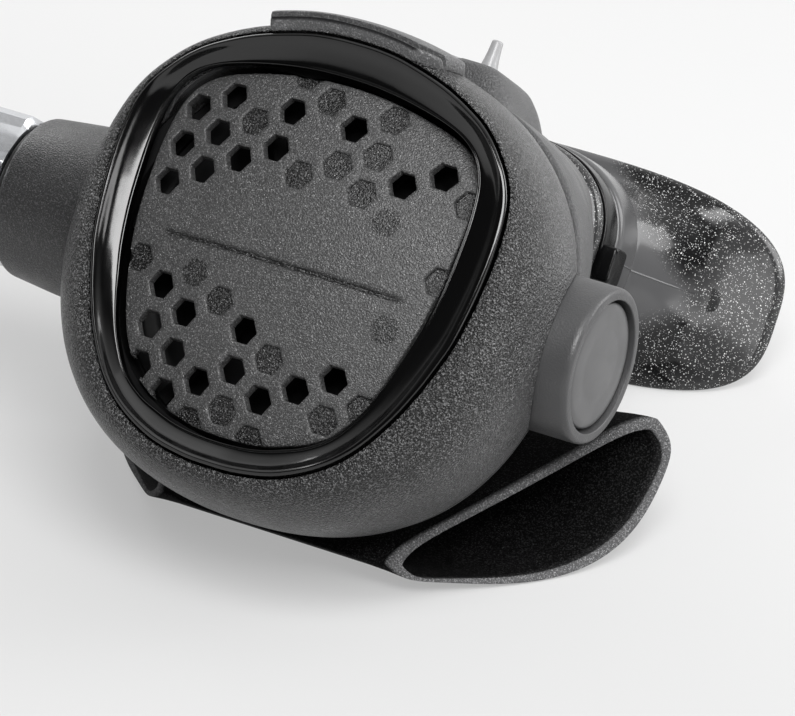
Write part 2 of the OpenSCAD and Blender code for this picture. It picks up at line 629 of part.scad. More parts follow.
// Rings in the orifice's two grooves and one that seals the inlet
module o_rings() color(gloss) {
    for (x = grooves) at_valve() translate([x + groove_w / 2, 0, 0]) along_x() rotate_extrude()
        translate([barrel_bore - fit - seal_r, 0]) circle(r = seal_r, $fn = 24);
    difference() {
        disc_x(-sleeve_end - 0.95, -sleeve_end - 0.05, sleeve_tip_r - 1.3);
        disc_x(-sleeve_end - 2, -sleeve_end + 1, spigot_r + fit);
    }
}

module inlet_fitting() color(steel) difference() {
    hex_x = -sleeve_end - 1 - inlet_hex_l;
    union() {
        intersection() {
            at_valve() translate([hex_x, 0, 0]) along_x() rotate([0, 0, 30])
                cylinder(h = inlet_hex_l, r = inlet_af / 2 / cos(30), $fn = 6);
            disc_x(hex_x, hex_x + inlet_hex_l, inlet_af / 2 / cos(30) - 0.5);
        }
        disc_x(-inlet_end, hex_x + 1, inlet_thread_r);
        disc_x(-sleeve_end - 2, -sleeve_end + 12, spigot_r);
    }
    disc_x(-inlet_end - 1, -sleeve_end + 13, inlet_bore);
}

cap_round = 1.1;              // rounding of the side cap's outer edge
recess_l = 2.4;               // depth of the recess for its disc
disc_low = 0.7;               // how far the disc's edge lies inside the cap's end
disc_crown = 0.5;             // how far the disc's middle stands over its edge
module side_cap() color(satin) at_valve() along_x() rotate_extrude() polygon(concat(
    [[0, cap_x0], [cap_r, cap_x0]],
    [for (a = [0:15:90]) [cap_r - cap_round + cap_round * cos(a),
        cap_end - cap_round + cap_round * sin(a)]],
    [[disc_r + 0.5, cap_end], [disc_r + 0.5, cap_end - recess_l], [0, cap_end - recess_l]]));
module side_cap_disc() color(satin) at_valve() along_x() rotate_extrude() polygon(concat(
    [[0, cap_end - recess_l + fit], [disc_r, cap_end - recess_l + fit],
        [disc_r, cap_end - disc_low]],
    [for (k = [1:8]) let (r = disc_r * (1 - k / 8))
        [r, cap_end - disc_low + disc_crown * (1 - r * r / disc_r / disc_r)]]));

// ---- lever, exhaust and mouthpiece -------------------------------------------

shaft_z = 10;                 // lower end of the lever's shaft
vane_w = 6.8;                 // width of the vane on that shaft
vane_t = 1.2;                 // thickness of the vane
vane_h = 9;                   // height of the vane
pin_l = 4.6;                  // length of the lever's pin
pin_r = 1.2;                  // radius of the pin at its foot
pin_tip_r = 0.75;             // radius of the pin at its end
module venturi_lever() color(dark) translate([0, lever_y, 0]) {
    translate([0, 0, housing_z - lever_disc_t]) cylinder(h = lever_disc_t, r = lever_disc_r);
    translate([0, 0, shaft_z]) cylinder(h = housing_z - lever_disc_t - shaft_z + over,
        r = lever_shaft_r);
    translate([-vane_w / 2, -vane_t / 2, shaft_z - 2]) cube([vane_w, vane_t, vane_h]);
    translate([lever_disc_r - pin_r - 0.4, 0, housing_z - over])
        cylinder(h = pin_l, r1 = pin_r, r2 = pin_tip_r);
}

module exhaust_frame() translate([0, port_at[0], port_at[1]]) rotate([tee_rise, 0, 0])
    children();
grid_z = 0.4;                 // outer face of the exhaust seat
grid_t = 2.6;                 // thickness of the exhaust seat
grid_rim = 1.4;               // width of its rim
hub_r = 2.6;                  // radius of its hub
flap_t = 0.9;                 // thickness of the exhaust valve
flap_stem_r = 1.2;            // radius of the valve's stem
bulb_r = 1.9;                 // radius of the bulb that holds the stem
module exhaust_seat() color(dark) exhaust_frame() difference() {
    union() {
        difference() {
            translate([0, 0, grid_z]) cylinder(h = grid_t, r = port_r);
            cylinder(h = grid_z + grid_t + 1, r = port_r - grid_rim);
        }
        translate([0, 0, grid_z]) cylinder(h = grid_t, r = hub_r);
        for (k = [0:5]) rotate([0, 0, 60 * k]) translate([2, -0.5, grid_z + 0.6])
            cube([port_r - 3, 1, grid_t - 0.6]);
    }
    cylinder(h = 3 * grid_t, r = flap_stem_r + fit, center = true);
}
module exhaust_valve() color(soft) exhaust_frame() {
    translate([0, 0, grid_z - slip - flap_t]) cylinder(h = flap_t, r = port_r - 0.5);
    cylinder(h = grid_z + grid_t + 0.2, r = flap_stem_r);
    translate([0, 0, grid_z + grid_t + slip]) cylinder(h = flap_t, r = bulb_r);
}

module exhaust_tee() color(dark) difference() {
    loop_skin([tee_ring(-1, 0, 0), tee_ring(-0.5, 0, 0), tee_ring(0, 0, 0),
        tee_ring(0.5, 0, 0), tee_ring(1, 0, 0), tee_ring(1, tee_t, -0.3),
        tee_ring(0, tee_t, -0.3), tee_ring(-1, tee_t, -0.3)]);
    exhaust_frame() translate([0, 0, -3]) cylinder(h = 8, r = port_r + 2 + loose);
}

module mouthpiece() color(soft) mouth_frame() {
    front_in = [spigot_a + loose, spigot_b + loose];
    loop_skin([mouth_ring(0.1, collar_a - 1.6, collar_b - 1.6),
        mouth_ring(lip_l / 2, collar_a - 0.7, collar_b - 0.9),
        mouth_ring(groove_y - 0.5, collar_a - 0.6, collar_b - 0.8),
        mouth_ring(groove_y, collar_a - groove_d, collar_b - groove_d),
        mouth_ring(collar_y, collar_a - groove_d, collar_b - groove_d),
        mouth_ring(collar_y + 0.4, collar_a, collar_b),
        mouth_ring(collar_y + collar_l, collar_a, collar_b),
        mouth_ring(collar_y + collar_l + 0.5, collar_a - 0.8, collar_b - 0.9),
        mouth_ring(collar_y + collar_l + 3, collar_a + 0.3, collar_b - 1.6),
        mouth_ring(flange_y - 3, collar_a + 3, collar_b - 1.6, 0.001),
        mouth_ring(flange_y - 0.6, collar_a + 8.5, collar_b - 1.3, flange_bow * 0.8, 2.8),
        flange_front, flange_edge, flange_back,
        mouth_ring(flange_y + flange_t, bore_a, bore_b, flange_bow),
        mouth_ring(spigot_l + 1.2, bore_a, bore_b),
        mouth_ring(spigot_l + 0.6, front_in[0], front_in[1]),
        mouth_ring(0.1, front_in[0], front_in[1])]);
    bite_tab();
    mirror([1, 0, 0]) bite_tab();
}
module bite_tab() {
    y0 = flange_y + flange_t / 2 + flange_bow * tab_in * tab_in;
    y1 = y0 + flange_t / 2 + tab_l;
    translate([0, 0, -tab_t / 2]) linear_extrude(tab_t) polygon([[tab_in, y0], [tab_out, y0],
        [tab_out, y0 + 4], [tab_out - 2, y1 - 2], [tab_out - 5, y1], [tab_in, y1]]);
    translate([tab_in, y1 - 7, -ridge_h / 2]) cube([2, 7, ridge_h]);
}

strap_t = 1.1;                // thickness of the strap
module tie_wrap() color(gloss) mouth_frame() {
    a = collar_a - groove_d + 0.1;
    b = collar_b - groove_d + 0.1;
    y0 = groove_y + 0.35;
    y1 = groove_y + groove_l - 0.35;
    loop_skin([mouth_ring(y0, a + strap_t, b + strap_t), mouth_ring(y1, a + strap_t, b + strap_t),
        mouth_ring(y1, a, b), mouth_ring(y0, a, b)]);
    translate([a + 0.1, y0, -3.8]) cube([3.4, y1 - y0, 5.4]);
}

// ---- the part ----------------------------------------------------------------

posed() rear_case();
posed() front_ring();
posed() gloss_bezel();
posed() purge_cover();
posed() top_clip();
posed() inner_cover();
posed() purge_spring();
posed() diaphragm();
posed() diaphragm_disc();
posed() demand_lever();
posed() barrel_sleeve();
posed() valve_barrel();
posed() orifice_tube();
posed() poppet();
posed() poppet_seat();
posed() poppet_spring();
posed() poppet_nut();
posed() o_rings();
posed() inlet_fitting();
posed() side_cap();
posed() side_cap_disc();
posed() venturi_lever();
posed() exhaust_seat();
posed() exhaust_valve();
posed() exhaust_tee();
posed() mouthpiece();
posed() tie_wrap();
echo(lean = lean, origin_x = origin_x, origin_y = origin_y, floor_h = floor_h);
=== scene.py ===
"""Looks of a scuba regulator's second stage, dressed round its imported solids.

Every surface is worked out in the body's own frame, in millimetres: X to the
right, Y back from the purge cover to the mouthpiece, Z up along the cover.
BodyFrame then leans it onto its exhaust tee and carries it to metres.
"""

import json
import logging
import math
from dataclasses import dataclass, field
from enum import Enum
from functools import cache

import bmesh
import bpy
import numpy as np
from mathutils import Matrix, Vector
from mathutils.geometry import delaunay_2d_cdt
from numpy.typing import NDArray


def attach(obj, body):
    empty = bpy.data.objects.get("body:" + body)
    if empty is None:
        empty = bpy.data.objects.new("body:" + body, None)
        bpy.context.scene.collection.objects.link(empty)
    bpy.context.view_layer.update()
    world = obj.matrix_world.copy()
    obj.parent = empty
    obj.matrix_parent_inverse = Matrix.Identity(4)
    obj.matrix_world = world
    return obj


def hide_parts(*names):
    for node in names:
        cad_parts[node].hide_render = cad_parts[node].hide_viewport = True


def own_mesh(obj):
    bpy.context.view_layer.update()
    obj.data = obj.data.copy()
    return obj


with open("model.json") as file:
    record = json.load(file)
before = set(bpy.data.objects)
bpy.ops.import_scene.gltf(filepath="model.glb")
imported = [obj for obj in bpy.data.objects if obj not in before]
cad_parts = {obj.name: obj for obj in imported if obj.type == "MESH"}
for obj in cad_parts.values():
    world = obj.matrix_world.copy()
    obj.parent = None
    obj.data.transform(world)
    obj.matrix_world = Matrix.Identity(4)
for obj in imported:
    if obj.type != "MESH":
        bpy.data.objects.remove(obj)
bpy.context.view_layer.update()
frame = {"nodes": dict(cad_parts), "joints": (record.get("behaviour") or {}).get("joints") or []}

Points = NDArray[np.float64]
Faces = NDArray[np.int64]
Pair = tuple[float, float]
Triple = tuple[float, float, float]
Coil = tuple[str, Triple, Triple, float]
Piece = bpy.types.Object
Socket = bpy.types.NodeSocket

LOG = logging.getLogger("second_stage")
MM = 0.001
RING_POINTS = 288
SHARP = 38.0
HINGE_PLACE = (20.0, 24.0, 1.0)


# ---- the body's frame and the axes that round parts are turned on ------------


class BodyFrame:
    """The place of the body's frame in the row frame, read from the joints."""

    def __init__(self, joints: list[dict]) -> None:
        """Reads the lean and the shift.

        Args:
            joints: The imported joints. The purge cover's slide gives the body's Y
                axis, and the lever's hinge gives a point whose place is known.
        """
        by_name = {joint["name"]: joint for joint in joints}
        _, along_y, along_z = by_name["purge_press"]["axis"]
        self.lean = math.atan2(-along_z, along_y)
        hinge = np.array(by_name["demand_pivot"]["pos_m"]) / MM
        self.shift = hinge - self.turn(np.array(HINGE_PLACE))

    def turn(self, vectors: Points, way: int = 1) -> Points:
        """Turns vectors about X by the lean.

        Args:
            vectors: Rows of x, y and z.
            way: 1 from the body's frame to the row frame, -1 for the way back.

        Returns:
            The turned vectors.
        """
        x, y, z = np.moveaxis(np.asarray(vectors, float), -1, 0)
        cos_l, sin_l = math.cos(self.lean), way * math.sin(self.lean)
        return np.stack([x, y * cos_l + z * sin_l, z * cos_l - y * sin_l], axis=-1)

    def place(self, points: Points) -> Points:
        """Carries points of the body's frame, in mm, to the row frame, in metres."""
        return (self.turn(points) + self.shift) * MM

    def read(self, obj: Piece) -> Points:
        """Reads a mesh's points back in the body's frame.

        Args:
            obj: The object.

        Returns:
            One row each of x, y and z, in mm.
        """
        flat = np.zeros(len(obj.data.vertices) * 3)
        obj.data.vertices.foreach_get("co", flat)
        return self.turn(flat.reshape(-1, 3) / MM - self.shift, -1).T


BODY = BodyFrame(frame["joints"])


def circle(count: int = RING_POINTS) -> Points:
    """Angles evenly round a circle."""
    return np.linspace(0, 2 * np.pi, count, endpoint=False)


class Axis(Enum):
    """An axis that parts are turned on: origin, direction and two radial directions."""

    VALVE = ((0, 24, 1), (1, 0, 0), (0, 0, 1), (0, -1, 0))
    PURGE = ((0, 0, 0), (0, 1, 0), (1, 0, 0), (0, 0, 1))
    LEVER = ((0, 32.5, 0), (0, 0, 1), (1, 0, 0), (0, 1, 0))
    LEVER_PIN = ((5.4, 32.5, 0), (0, 0, 1), (1, 0, 0), (0, 1, 0))
    EXHAUST = (
        (0, 37.3875, -18.5591),
        (0, -0.793353, 0.608761),
        (1, 0, 0),
        (0, 0.608761, 0.793353),
    )

    def rings(self, heights: Points, radii: Points, around: int) -> Points:
        """Rings round the axis.

        Formula: origin + h direction + r (cos t side + sin t up), for every
        height h with its radius r and t round the circle.

        Args:
            heights: Place of each ring along the axis.
            radii: One radius for each ring, or a row of them round each.
            around: Points round the circle.

        Returns:
            Rings by points by 3.
        """
        origin, direction, side, up = (np.array(v, float) for v in self.value)
        t = circle(around)[:, None]
        out = np.cos(t) * side + np.sin(t) * up
        radii = np.reshape(radii, (len(heights), -1, 1))
        return origin + np.reshape(heights, (-1, 1, 1)) * direction + radii * out


Bore = tuple[Axis, float, float, float, int]


# ---- shape arithmetic --------------------------------------------------------


def oval(
    depth: float,
    half_w: float,
    half_h: float,
    mid_z: float = 0.0,
    n: float = 2.0,
    bow: float = 0.0,
    turn: Points | None = None,
) -> Points:
    """One closed ring of a rounded outline in a plane of constant depth.

    Formula: an ellipse's point (a cos t, b sin t) is pushed out along its own
    radius by (|cos t|^n + |sin t|^n)^(-1/n), which lands it on the superellipse
    of exponent n. Its depth grows by bow times x squared.

    Args:
        depth: Depth of the ring's plane.
        half_w: Half width a.
        half_h: Half height b.
        mid_z: Height of the ring's middle.
        n: Exponent.
        bow: Bend of the plane, in mm per square mm.
        turn: The angles t, or None for an even round.

    Returns:
        The ring's points, one row each.
    """
    t = circle() if turn is None else turn
    cos_t, sin_t = np.cos(t), np.sin(t)
    push = (np.abs(cos_t) ** n + np.abs(sin_t) ** n) ** (-1 / n)
    x = half_w * cos_t * push
    return np.stack([x, depth + bow * x * x, mid_z + half_h * sin_t * push], axis=-1)


def flat_rings(levels: list[tuple], n: float, upright: bool) -> Points:
    """A stack of squared outlines, lying flat or standing across X.

    Args:
        levels: Place along the stack, both half sizes and both middles of each.
        n: Exponent of the outlines.
        upright: Whether the stack runs along X instead of Z.

    Returns:
        Rings by points by 3.
    """
    rings = []
    for place, half_a, half_b, mid_a, mid_b in levels:
        a, _, b = oval(0, half_a, half_b, mid_b, n).T
        level = np.full(len(a), place)
        rings.append([level, a + mid_a, b] if upright else [a + mid_a, b, level])
    return np.moveaxis(np.array(rings), 1, -1)


def round_outline(half_w: float, half_h: float, n: float, mid_z: float) -> Points:
    """A superellipse by angle: r = (|cos t / a|^n + |sin t / b|^n)^(-1/n).

    Args:
        half_w: Half width a.
        half_h: Half height b.
        n: Exponent.
        mid_z: Height of its middle.

    Returns:
        Rows of x and z at the shared angles.
    """
    cos_t, sin_t = np.cos(circle()), np.sin(circle())
    r = (np.abs(cos_t / half_w) ** n + np.abs(sin_t / half_h) ** n) ** (-1 / n)
    return np.stack([r * cos_t, mid_z + r * sin_t], axis=-1)


def shield_outline(knots: tuple[Pair, ...], mid_x: float) -> Points:
    """A symmetric outline through the knots of its right half.

    Formula: the knots and their mirror images are joined by the cubics of
    spline, and the curve is read off at the shared angles.

    Args:
        knots: x and z from the top's middle, clockwise, to the bottom's middle.
        mid_x: Place of the line of symmetry.

    Returns:
        Rows of x and z at the shared angles.
    """
    half = np.array(knots)
    ring = np.concatenate([half, half[-2:0:-1] * (-1, 1)])
    curve = spline(np.concatenate([ring, ring, ring[:1]]), 14)[::-1]
    turn = np.unwrap(np.arctan2(curve[::-1, 1], curve[::-1, 0]))[::-1]
    wanted = circle() + 2 * np.pi * np.ceil((turn[0] + 1) / (2 * np.pi))
    r = np.interp(wanted, turn, np.linalg.norm(curve, axis=1))
    return np.stack([mid_x + r * np.cos(circle()), r * np.sin(circle())], axis=-1)


def grown(outline: Points, grow: float) -> Points:
    """Moves an outline outwards along its own normals.

    Args:
        outline: Rows of x and z.
        grow: How far it moves.

    Returns:
        The moved outline.
    """
    along = np.roll(outline, -1, 0) - np.roll(outline, 1, 0)
    normal = np.stack([along[:, 1], -along[:, 0]], axis=-1)
    return outline + grow * normal / np.linalg.norm(normal, axis=1, keepdims=True)


def at_depth(outline: Points, depth: float | Points) -> Points:
    """An outline of x and z as a ring at that depth."""
    x, z = outline.T
    return np.stack([x, np.broadcast_to(depth, x.shape), z], axis=-1)


def smooth_step(value: Points | float, start: float, end: float) -> Points:
    """Rises from 0 at start to 1 at end by 3u^2 - 2u^3."""
    u = np.clip((np.asarray(value, float) - start) / (end - start), 0, 1)
    return u * u * (3 - 2 * u)


def bend(start: Points, corner: Points, end: Points, t: Points) -> Points:
    """The curve (1-t)^2 start + 2t(1-t) corner + t^2 end."""
    return (1 - t) ** 2 * start + 2 * t * (1 - t) * corner + t * t * end


def soften(
    rings: Points,
    radius: dict[int, float] | list[float],
    closed: bool = False,
    steps: int = 4,
) -> Points:
    """Rounds the corners of a stack of rings.

    Formula: each inner ring C with neighbours P and N is replaced by the bend
    from A by C to B, where A and B lie a radius away from C towards P and N, or
    45% of the way where that is nearer.

    Args:
        rings: Rings by points by 3.
        radius: The rounding of each ring, or of some by their numbers.
        closed: Whether the last ring joins the first.
        steps: How many strips a corner gets.

    Returns:
        The longer stack of rings.
    """
    count = len(rings)
    if isinstance(radius, dict):
        radius = [radius.get(j, radius.get(j - count, 0.0)) for j in range(count)]
    t = np.linspace(0, 1, steps + 1)[:, None, None]
    result = []
    for j, here in enumerate(rings):
        ends = []
        for other in (rings[j - 1], rings[(j + 1) % count]):
            size = np.linalg.norm(other - here, axis=1, keepdims=True)
            share = np.minimum(radius[j] / np.maximum(size, 1e-9), 0.45)
            ends.append(here + (other - here) * share)
        straight = radius[j] <= 0 or (not closed and j in (0, count - 1))
        result.append(here[None] if straight else bend(ends[0], here, ends[1], t))
    return np.concatenate(result)


def spline(knots: Points, per_span: int) -> Points:
    """A smooth curve through knots: Catmull and Rom's cubic on each span.

    Args:
        knots: One row for each knot, in any number of dimensions.
        per_span: Points on each span.

    Returns:
        The curve's points, the last knot included.
    """
    knots = np.asarray(knots, float)
    ends = 2 * knots[[0, -1]] - knots[[1, -2]]
    held = np.concatenate([ends[:1], knots, ends[1:]])
    t = np.linspace(0, 1, per_span, endpoint=False)[None, :, None]
    p0, p1, p2, p3 = (held[k : len(held) - 3 + k, None] for k in range(4))
    curve = 0.5 * (
        2 * p1
        + (p2 - p0) * t
        + (2 * p0 - 5 * p1 + 4 * p2 - p3) * t**2
        + (3 * p1 - p0 - 3 * p2 + p3) * t**3
    )
    return np.concatenate([curve.reshape(-1, knots.shape[1]), knots[-1:]])


class Skin:
    """Grids of points gathered into one closed mesh."""

    def __init__(self) -> None:
        """Starts empty."""
        self.points: list[Points] = []
        self.quads: list[Faces] = []
        self.fans: list[Faces] = []
        self.count = 0

    def _add(self, points: Points) -> int:
        """Adds points.

        Args:
            points: Points in the body's frame.

        Returns:
            The number of the first.
        """
        self.points.append(np.asarray(points, float).reshape(-1, 3))
        self.count += len(self.points[-1])
        return self.count - len(self.points[-1])

    def grid(self, rings: Points, capped: bool = False, looped: bool = False) -> "Skin":
        """Adds a grid of closed rings.

        Args:
            rings: Rings by points by 3.
            capped: Whether a fan closes the first and the last ring.
            looped: Whether the last ring joins the first.

        Returns:
            The skin itself.
        """
        rows, cols = rings.shape[:2]
        index = np.arange(rows * cols).reshape(rows, cols) + self._add(rings)
        below, right = np.roll(index, -1, 0), np.roll(index, -1, 1)
        faces = np.stack([index, right, np.roll(below, -1, 1), below], axis=-1)
        self.quads.append(faces[: rows if looped else -1].reshape(-1, 4))
        for row in (0, -1) if capped else ():
            hub = np.full(cols, self._add(rings[row].mean(0)))
            fan = np.stack([hub, index[row], np.roll(index[row], -1)], axis=-1)
            self.fans.append(fan)
        return self

    def triangles(self, points: Points, faces: Faces) -> "Skin":
        """Adds loose triangles over their own points."""
        self.fans.append(np.asarray(faces) + self._add(points))
        return self

    def turn(
        self, axis: Axis, corners: list[Triple], around: int = 96, steps: int = 4
    ) -> "Skin":
        """Adds a turned shape whose profile has rounded corners.

        Args:
            axis: The axis that it is turned on.
            corners: Place along the axis, radius and rounding of each corner.
            around: Points round the circle.
            steps: Strips of each rounding.

        Returns:
            The skin itself.
        """
        table = np.asarray(corners, float)
        profile = soften(table[:, None, :2], list(table[:, 2]), steps=steps)[:, 0]
        return self.grid(axis.rings(profile[:, 0], profile[:, 1], around))

    def build(self, name: str, sharp: float = SHARP) -> Piece:
        """Makes the object in the row frame.

        Args:
            name: The piece's name.
            sharp: Fold, in degrees, past which an edge is shaded sharp.

        Returns:
            The linked object.
        """
        mesh = bpy.data.meshes.new(name)
        points = BODY.place(np.concatenate(self.points))
        faces = [f for block in self.quads + self.fans for f in block.tolist()]
        mesh.from_pydata(points.tolist(), [], faces)
        tidy_mesh(mesh, sharp)
        return linked(name, mesh)


def linked(name: str, data: bpy.types.ID) -> Piece:
    """Links a new object to the scene.

    Args:
        name: Its name.
        data: Its mesh, camera or lamp.

    Returns:
        The object.
    """
    obj = bpy.data.objects.new(name, data)
    bpy.context.scene.collection.objects.link(obj)
    return obj


def tidy_mesh(mesh: bpy.types.Mesh, sharp: float = SHARP) -> None:
    """Merges coinciding points, turns faces outwards and sets the shading.

    Args:
        mesh: The mesh to change.
        sharp: Fold, in degrees, past which an edge is shaded sharp.
    """
    work = bmesh.new()
    work.from_mesh(mesh)
    bmesh.ops.remove_doubles(work, verts=work.verts, dist=2e-6)
    bmesh.ops.dissolve_degenerate(work, edges=work.edges, dist=1e-7)
    bmesh.ops.recalc_face_normals(work, faces=work.faces)
    work.to_mesh(mesh)
    work.free()
    mesh.shade_smooth()
    mesh.set_sharp_from_angle(angle=math.radians(sharp))


def combine(obj: Piece, tools: list[Piece], how: str, sharp: float = SHARP) -> None:
    """Cuts tools out of an object, or joins them to it, and applies the result.

    Args:
        obj: The object to change.
        tools: Closed solids, which are removed afterwards.
        how: Blender's word for the operation: DIFFERENCE or UNION.
        sharp: Fold, in degrees, past which an edge is shaded sharp.
    """
    for tool in tools:
        step = obj.modifiers.new("step", "BOOLEAN")
        step.operation, step.solver, step.object = how, "EXACT", tool
    graph = bpy.context.evaluated_depsgraph_get()
    mesh = bpy.data.meshes.new_from_object(obj.evaluated_get(graph))
    obj.modifiers.clear()
    obj.data = mesh
    mesh.name = obj.name
    for tool in tools:
        bpy.data.objects.remove(tool)
    tidy_mesh(mesh, sharp)


def rod(
    axis: Axis, start: float, end: float, radius: float, around: int = 128
) -> Piece:
    """A plain closed rod on an axis, used as a cutting tool."""
    rings = axis.rings([start, end], [radius, radius], around)
    return Skin().grid(rings, capped=True).build("tool")


# ---- shader effects and finishes ---------------------------------------------


class Nodes:
    """A node tree with short ways to add and feed nodes."""

    MIX_INPUTS = (0, 6, 7)
    MIX_RESULT = 2

    def __init__(self, tree: bpy.types.NodeTree) -> None:
        """Wraps a tree."""
        self.tree = tree

    def first(self, kind: str) -> bpy.types.Node:
        """The tree's own node of a kind."""
        return next(n for n in self.tree.nodes if n.type == kind)

    def feed(self, socket: Socket, value: Socket | float | Triple) -> None:
        """Links a source to a socket, or gives it a plain value.

        Args:
            socket: The input.
            value: An output, a number, a vector, or a colour without its alpha.
        """
        if isinstance(value, Socket):
            self.tree.links.new(value, socket)
        else:
            socket.default_value = (*value, 1) if socket.type == "RGBA" else value

    def add(
        self, kind: str, inputs: dict | None = None, **settings: object
    ) -> bpy.types.Node:
        """Adds a shader node.

        Args:
            kind: Its type, without ShaderNode in front.
            inputs: What feeds its inputs, by name or number.
            settings: Its own settings, which are set first.

        Returns:
            The node.
        """
        node = self.tree.nodes.new("ShaderNode" + kind)
        for name, value in settings.items():
            setattr(node, name, value)
        for key, value in (inputs or {}).items():
            self.feed(node.inputs[key], value)
        return node

    def math(self, how: str, *values: Socket | float, clamp: bool = False) -> Socket:
        """Adds a math node fed by outputs or numbers and returns its output."""
        inputs = dict(enumerate(values))
        return self.add("Math", inputs, operation=how, use_clamp=clamp).outputs[0]

    def ramp(
        self, value: Socket, start: float, end: float, low: float = 0, high: float = 1
    ) -> Socket:
        """Maps start..end smoothly to low..high.

        Args:
            value: What is mapped.
            start: Where the rise begins.
            end: Where it ends.
            low: The result at its beginning.
            high: The result at its end.

        Returns:
            The output.
        """
        inputs = {"From Min": start, "From Max": end, "To Min": low, "To Max": high}
        inputs["Value"] = value
        node = self.add("MapRange", inputs, interpolation_type="SMOOTHSTEP")
        return node.outputs["Result"]

    def mix(self, share: Socket, a: Socket | Triple, b: Socket | Triple) -> Socket:
        """Mixes two colours by a share and returns the output."""
        inputs = dict(zip(self.MIX_INPUTS, (share, a, b)))
        return self.add("Mix", inputs, data_type="RGBA").outputs[self.MIX_RESULT]

    def along_y(self, coordinates: str) -> Socket:
        """The Y part of the Object or Generated coordinates."""
        at = self.add("TexCoord").outputs[coordinates]
        return self.add("SeparateXYZ", {0: at}).outputs["Y"]


class Effect(Enum):
    """The shader groups that several finishes share."""

    GRAIN = "moulded_grain"
    FLECK = "bright_flecks"
    MOTTLE = "soft_mottle"
    SCUFF = "fine_scuffs"


class Effects:
    """Builds each shared shader group once."""

    def __init__(self) -> None:
        """Builds all groups."""
        self.groups = {
            Effect.GRAIN: self._grain(),
            Effect.FLECK: self._fleck(),
            Effect.MOTTLE: self._mottle(),
            Effect.SCUFF: self._scuff(),
        }

    @staticmethod
    def _start(
        effect: Effect, outputs: list[str], **given: float
    ) -> tuple[Nodes, bpy.types.Node, bpy.types.Node, dict[str, Socket]]:
        """Makes a group with its sockets.

        Args:
            effect: The group's name.
            outputs: Names of the outputs.
            given: Start value of each input, Size among them, in mm.

        Returns:
            The tree, its input node, its output node, and what feeds a texture:
            the Object coordinates and the scale that belongs to Size.
        """
        nodes = Nodes(bpy.data.node_groups.new(effect.value, "ShaderNodeTree"))
        face, kind = nodes.tree.interface, "NodeSocketFloat"
        for name, value in given.items():
            socket = face.new_socket(name, in_out="INPUT", socket_type=kind)
            socket.default_value = value
        for name in outputs:
            face.new_socket(name, in_out="OUTPUT", socket_type=kind)
        enter = nodes.tree.nodes.new("NodeGroupInput")
        leave = nodes.tree.nodes.new("NodeGroupOutput")
        scale = nodes.math("DIVIDE", 1 / MM, enter.outputs["Size"])
        at = nodes.add("TexCoord").outputs["Object"]
        return nodes, enter, leave, {"Vector": at, "Scale": scale}

    def _grain(self) -> bpy.types.NodeTree:
        """Pebbled mould grain: Size in mm, Height out, and the crests for painted highlights.

        Returns:
            The group.
        """
        nodes, _, leave, where = self._start(
            Effect.GRAIN, ["Height", "CrestHighlight"], Size=0.4
        )
        pebble = nodes.add(
            "TexVoronoi", {**where, "Smoothness": 0.6}, feature="SMOOTH_F1"
        )
        fine = {**where, "Detail": 2.5, "Roughness": 0.6}
        noise = nodes.add("TexNoise", fine).outputs["Fac"]
        dome = nodes.math("SUBTRACT", 1.0, pebble.outputs["Distance"])
        height = nodes.math("MULTIPLY_ADD", noise, 0.9, dome)
        nodes.feed(leave.inputs["Height"], height)
        nodes.feed(leave.inputs["CrestHighlight"], nodes.ramp(noise, 0.5, 0.66))
        return nodes.tree

    def _fleck(self) -> bpy.types.NodeTree:
        """Bright flecks: Size in mm and Share of the cells that hold one.

        Returns:
            The group.
        """
        nodes, enter, leave, where = self._start(
            Effect.FLECK, ["Mask"], Size=0.3, Share=0.1
        )
        cells = nodes.add("TexVoronoi", where).outputs
        split = nodes.add("SeparateColor", {"Color": cells["Color"]}).outputs
        limit = nodes.math("SUBTRACT", 1.0, enter.outputs["Share"])
        chosen = nodes.math("GREATER_THAN", split["Red"], limit)
        level = nodes.math("MULTIPLY_ADD", split["Green"], 0.75, 0.25)
        near = nodes.ramp(cells["Distance"], 0.42, 0.26)
        mask = nodes.math("MULTIPLY", chosen, level)
        nodes.feed(leave.inputs["Mask"], nodes.math("MULTIPLY", mask, near))
        return nodes.tree

    def _mottle(self) -> bpy.types.NodeTree:
        """Slow change of tone over a few mm: Size in mm, Value from 0 to 1.

        Returns:
            The group.
        """
        nodes, _, leave, where = self._start(Effect.MOTTLE, ["Value"], Size=8.0)
        noise = nodes.add("TexNoise", {**where, "Detail": 3}).outputs["Fac"]
        nodes.feed(leave.inputs["Value"], nodes.ramp(noise, 0.3, 0.7))
        return nodes.tree

    def _scuff(self) -> bpy.types.NodeTree:
        """Hairline marks of handling: Size in mm and Share, Mask out.

        Returns:
            The group.
        """
        nodes, enter, leave, where = self._start(
            Effect.SCUFF, ["Mask"], Size=2.0, Share=0.2
        )
        stretch = {"Scale": (1.0, 7.0, 2.5), "Rotation": (0.4, 0.7, 0.3)}
        stretch["Vector"] = where["Vector"]
        where["Vector"] = nodes.add("Mapping", stretch).outputs["Vector"]
        fine = {**where, "Detail": 4, "Roughness": 0.7}
        noise = nodes.add("TexNoise", fine).outputs["Fac"]
        low = nodes.math("MULTIPLY_ADD", enter.outputs["Share"], -0.25, 0.72)
        over = nodes.math("SUBTRACT", noise, low)
        nodes.feed(leave.inputs["Mask"], nodes.ramp(over, 0.0, 0.08))
        return nodes.tree


EFFECTS = Effects()


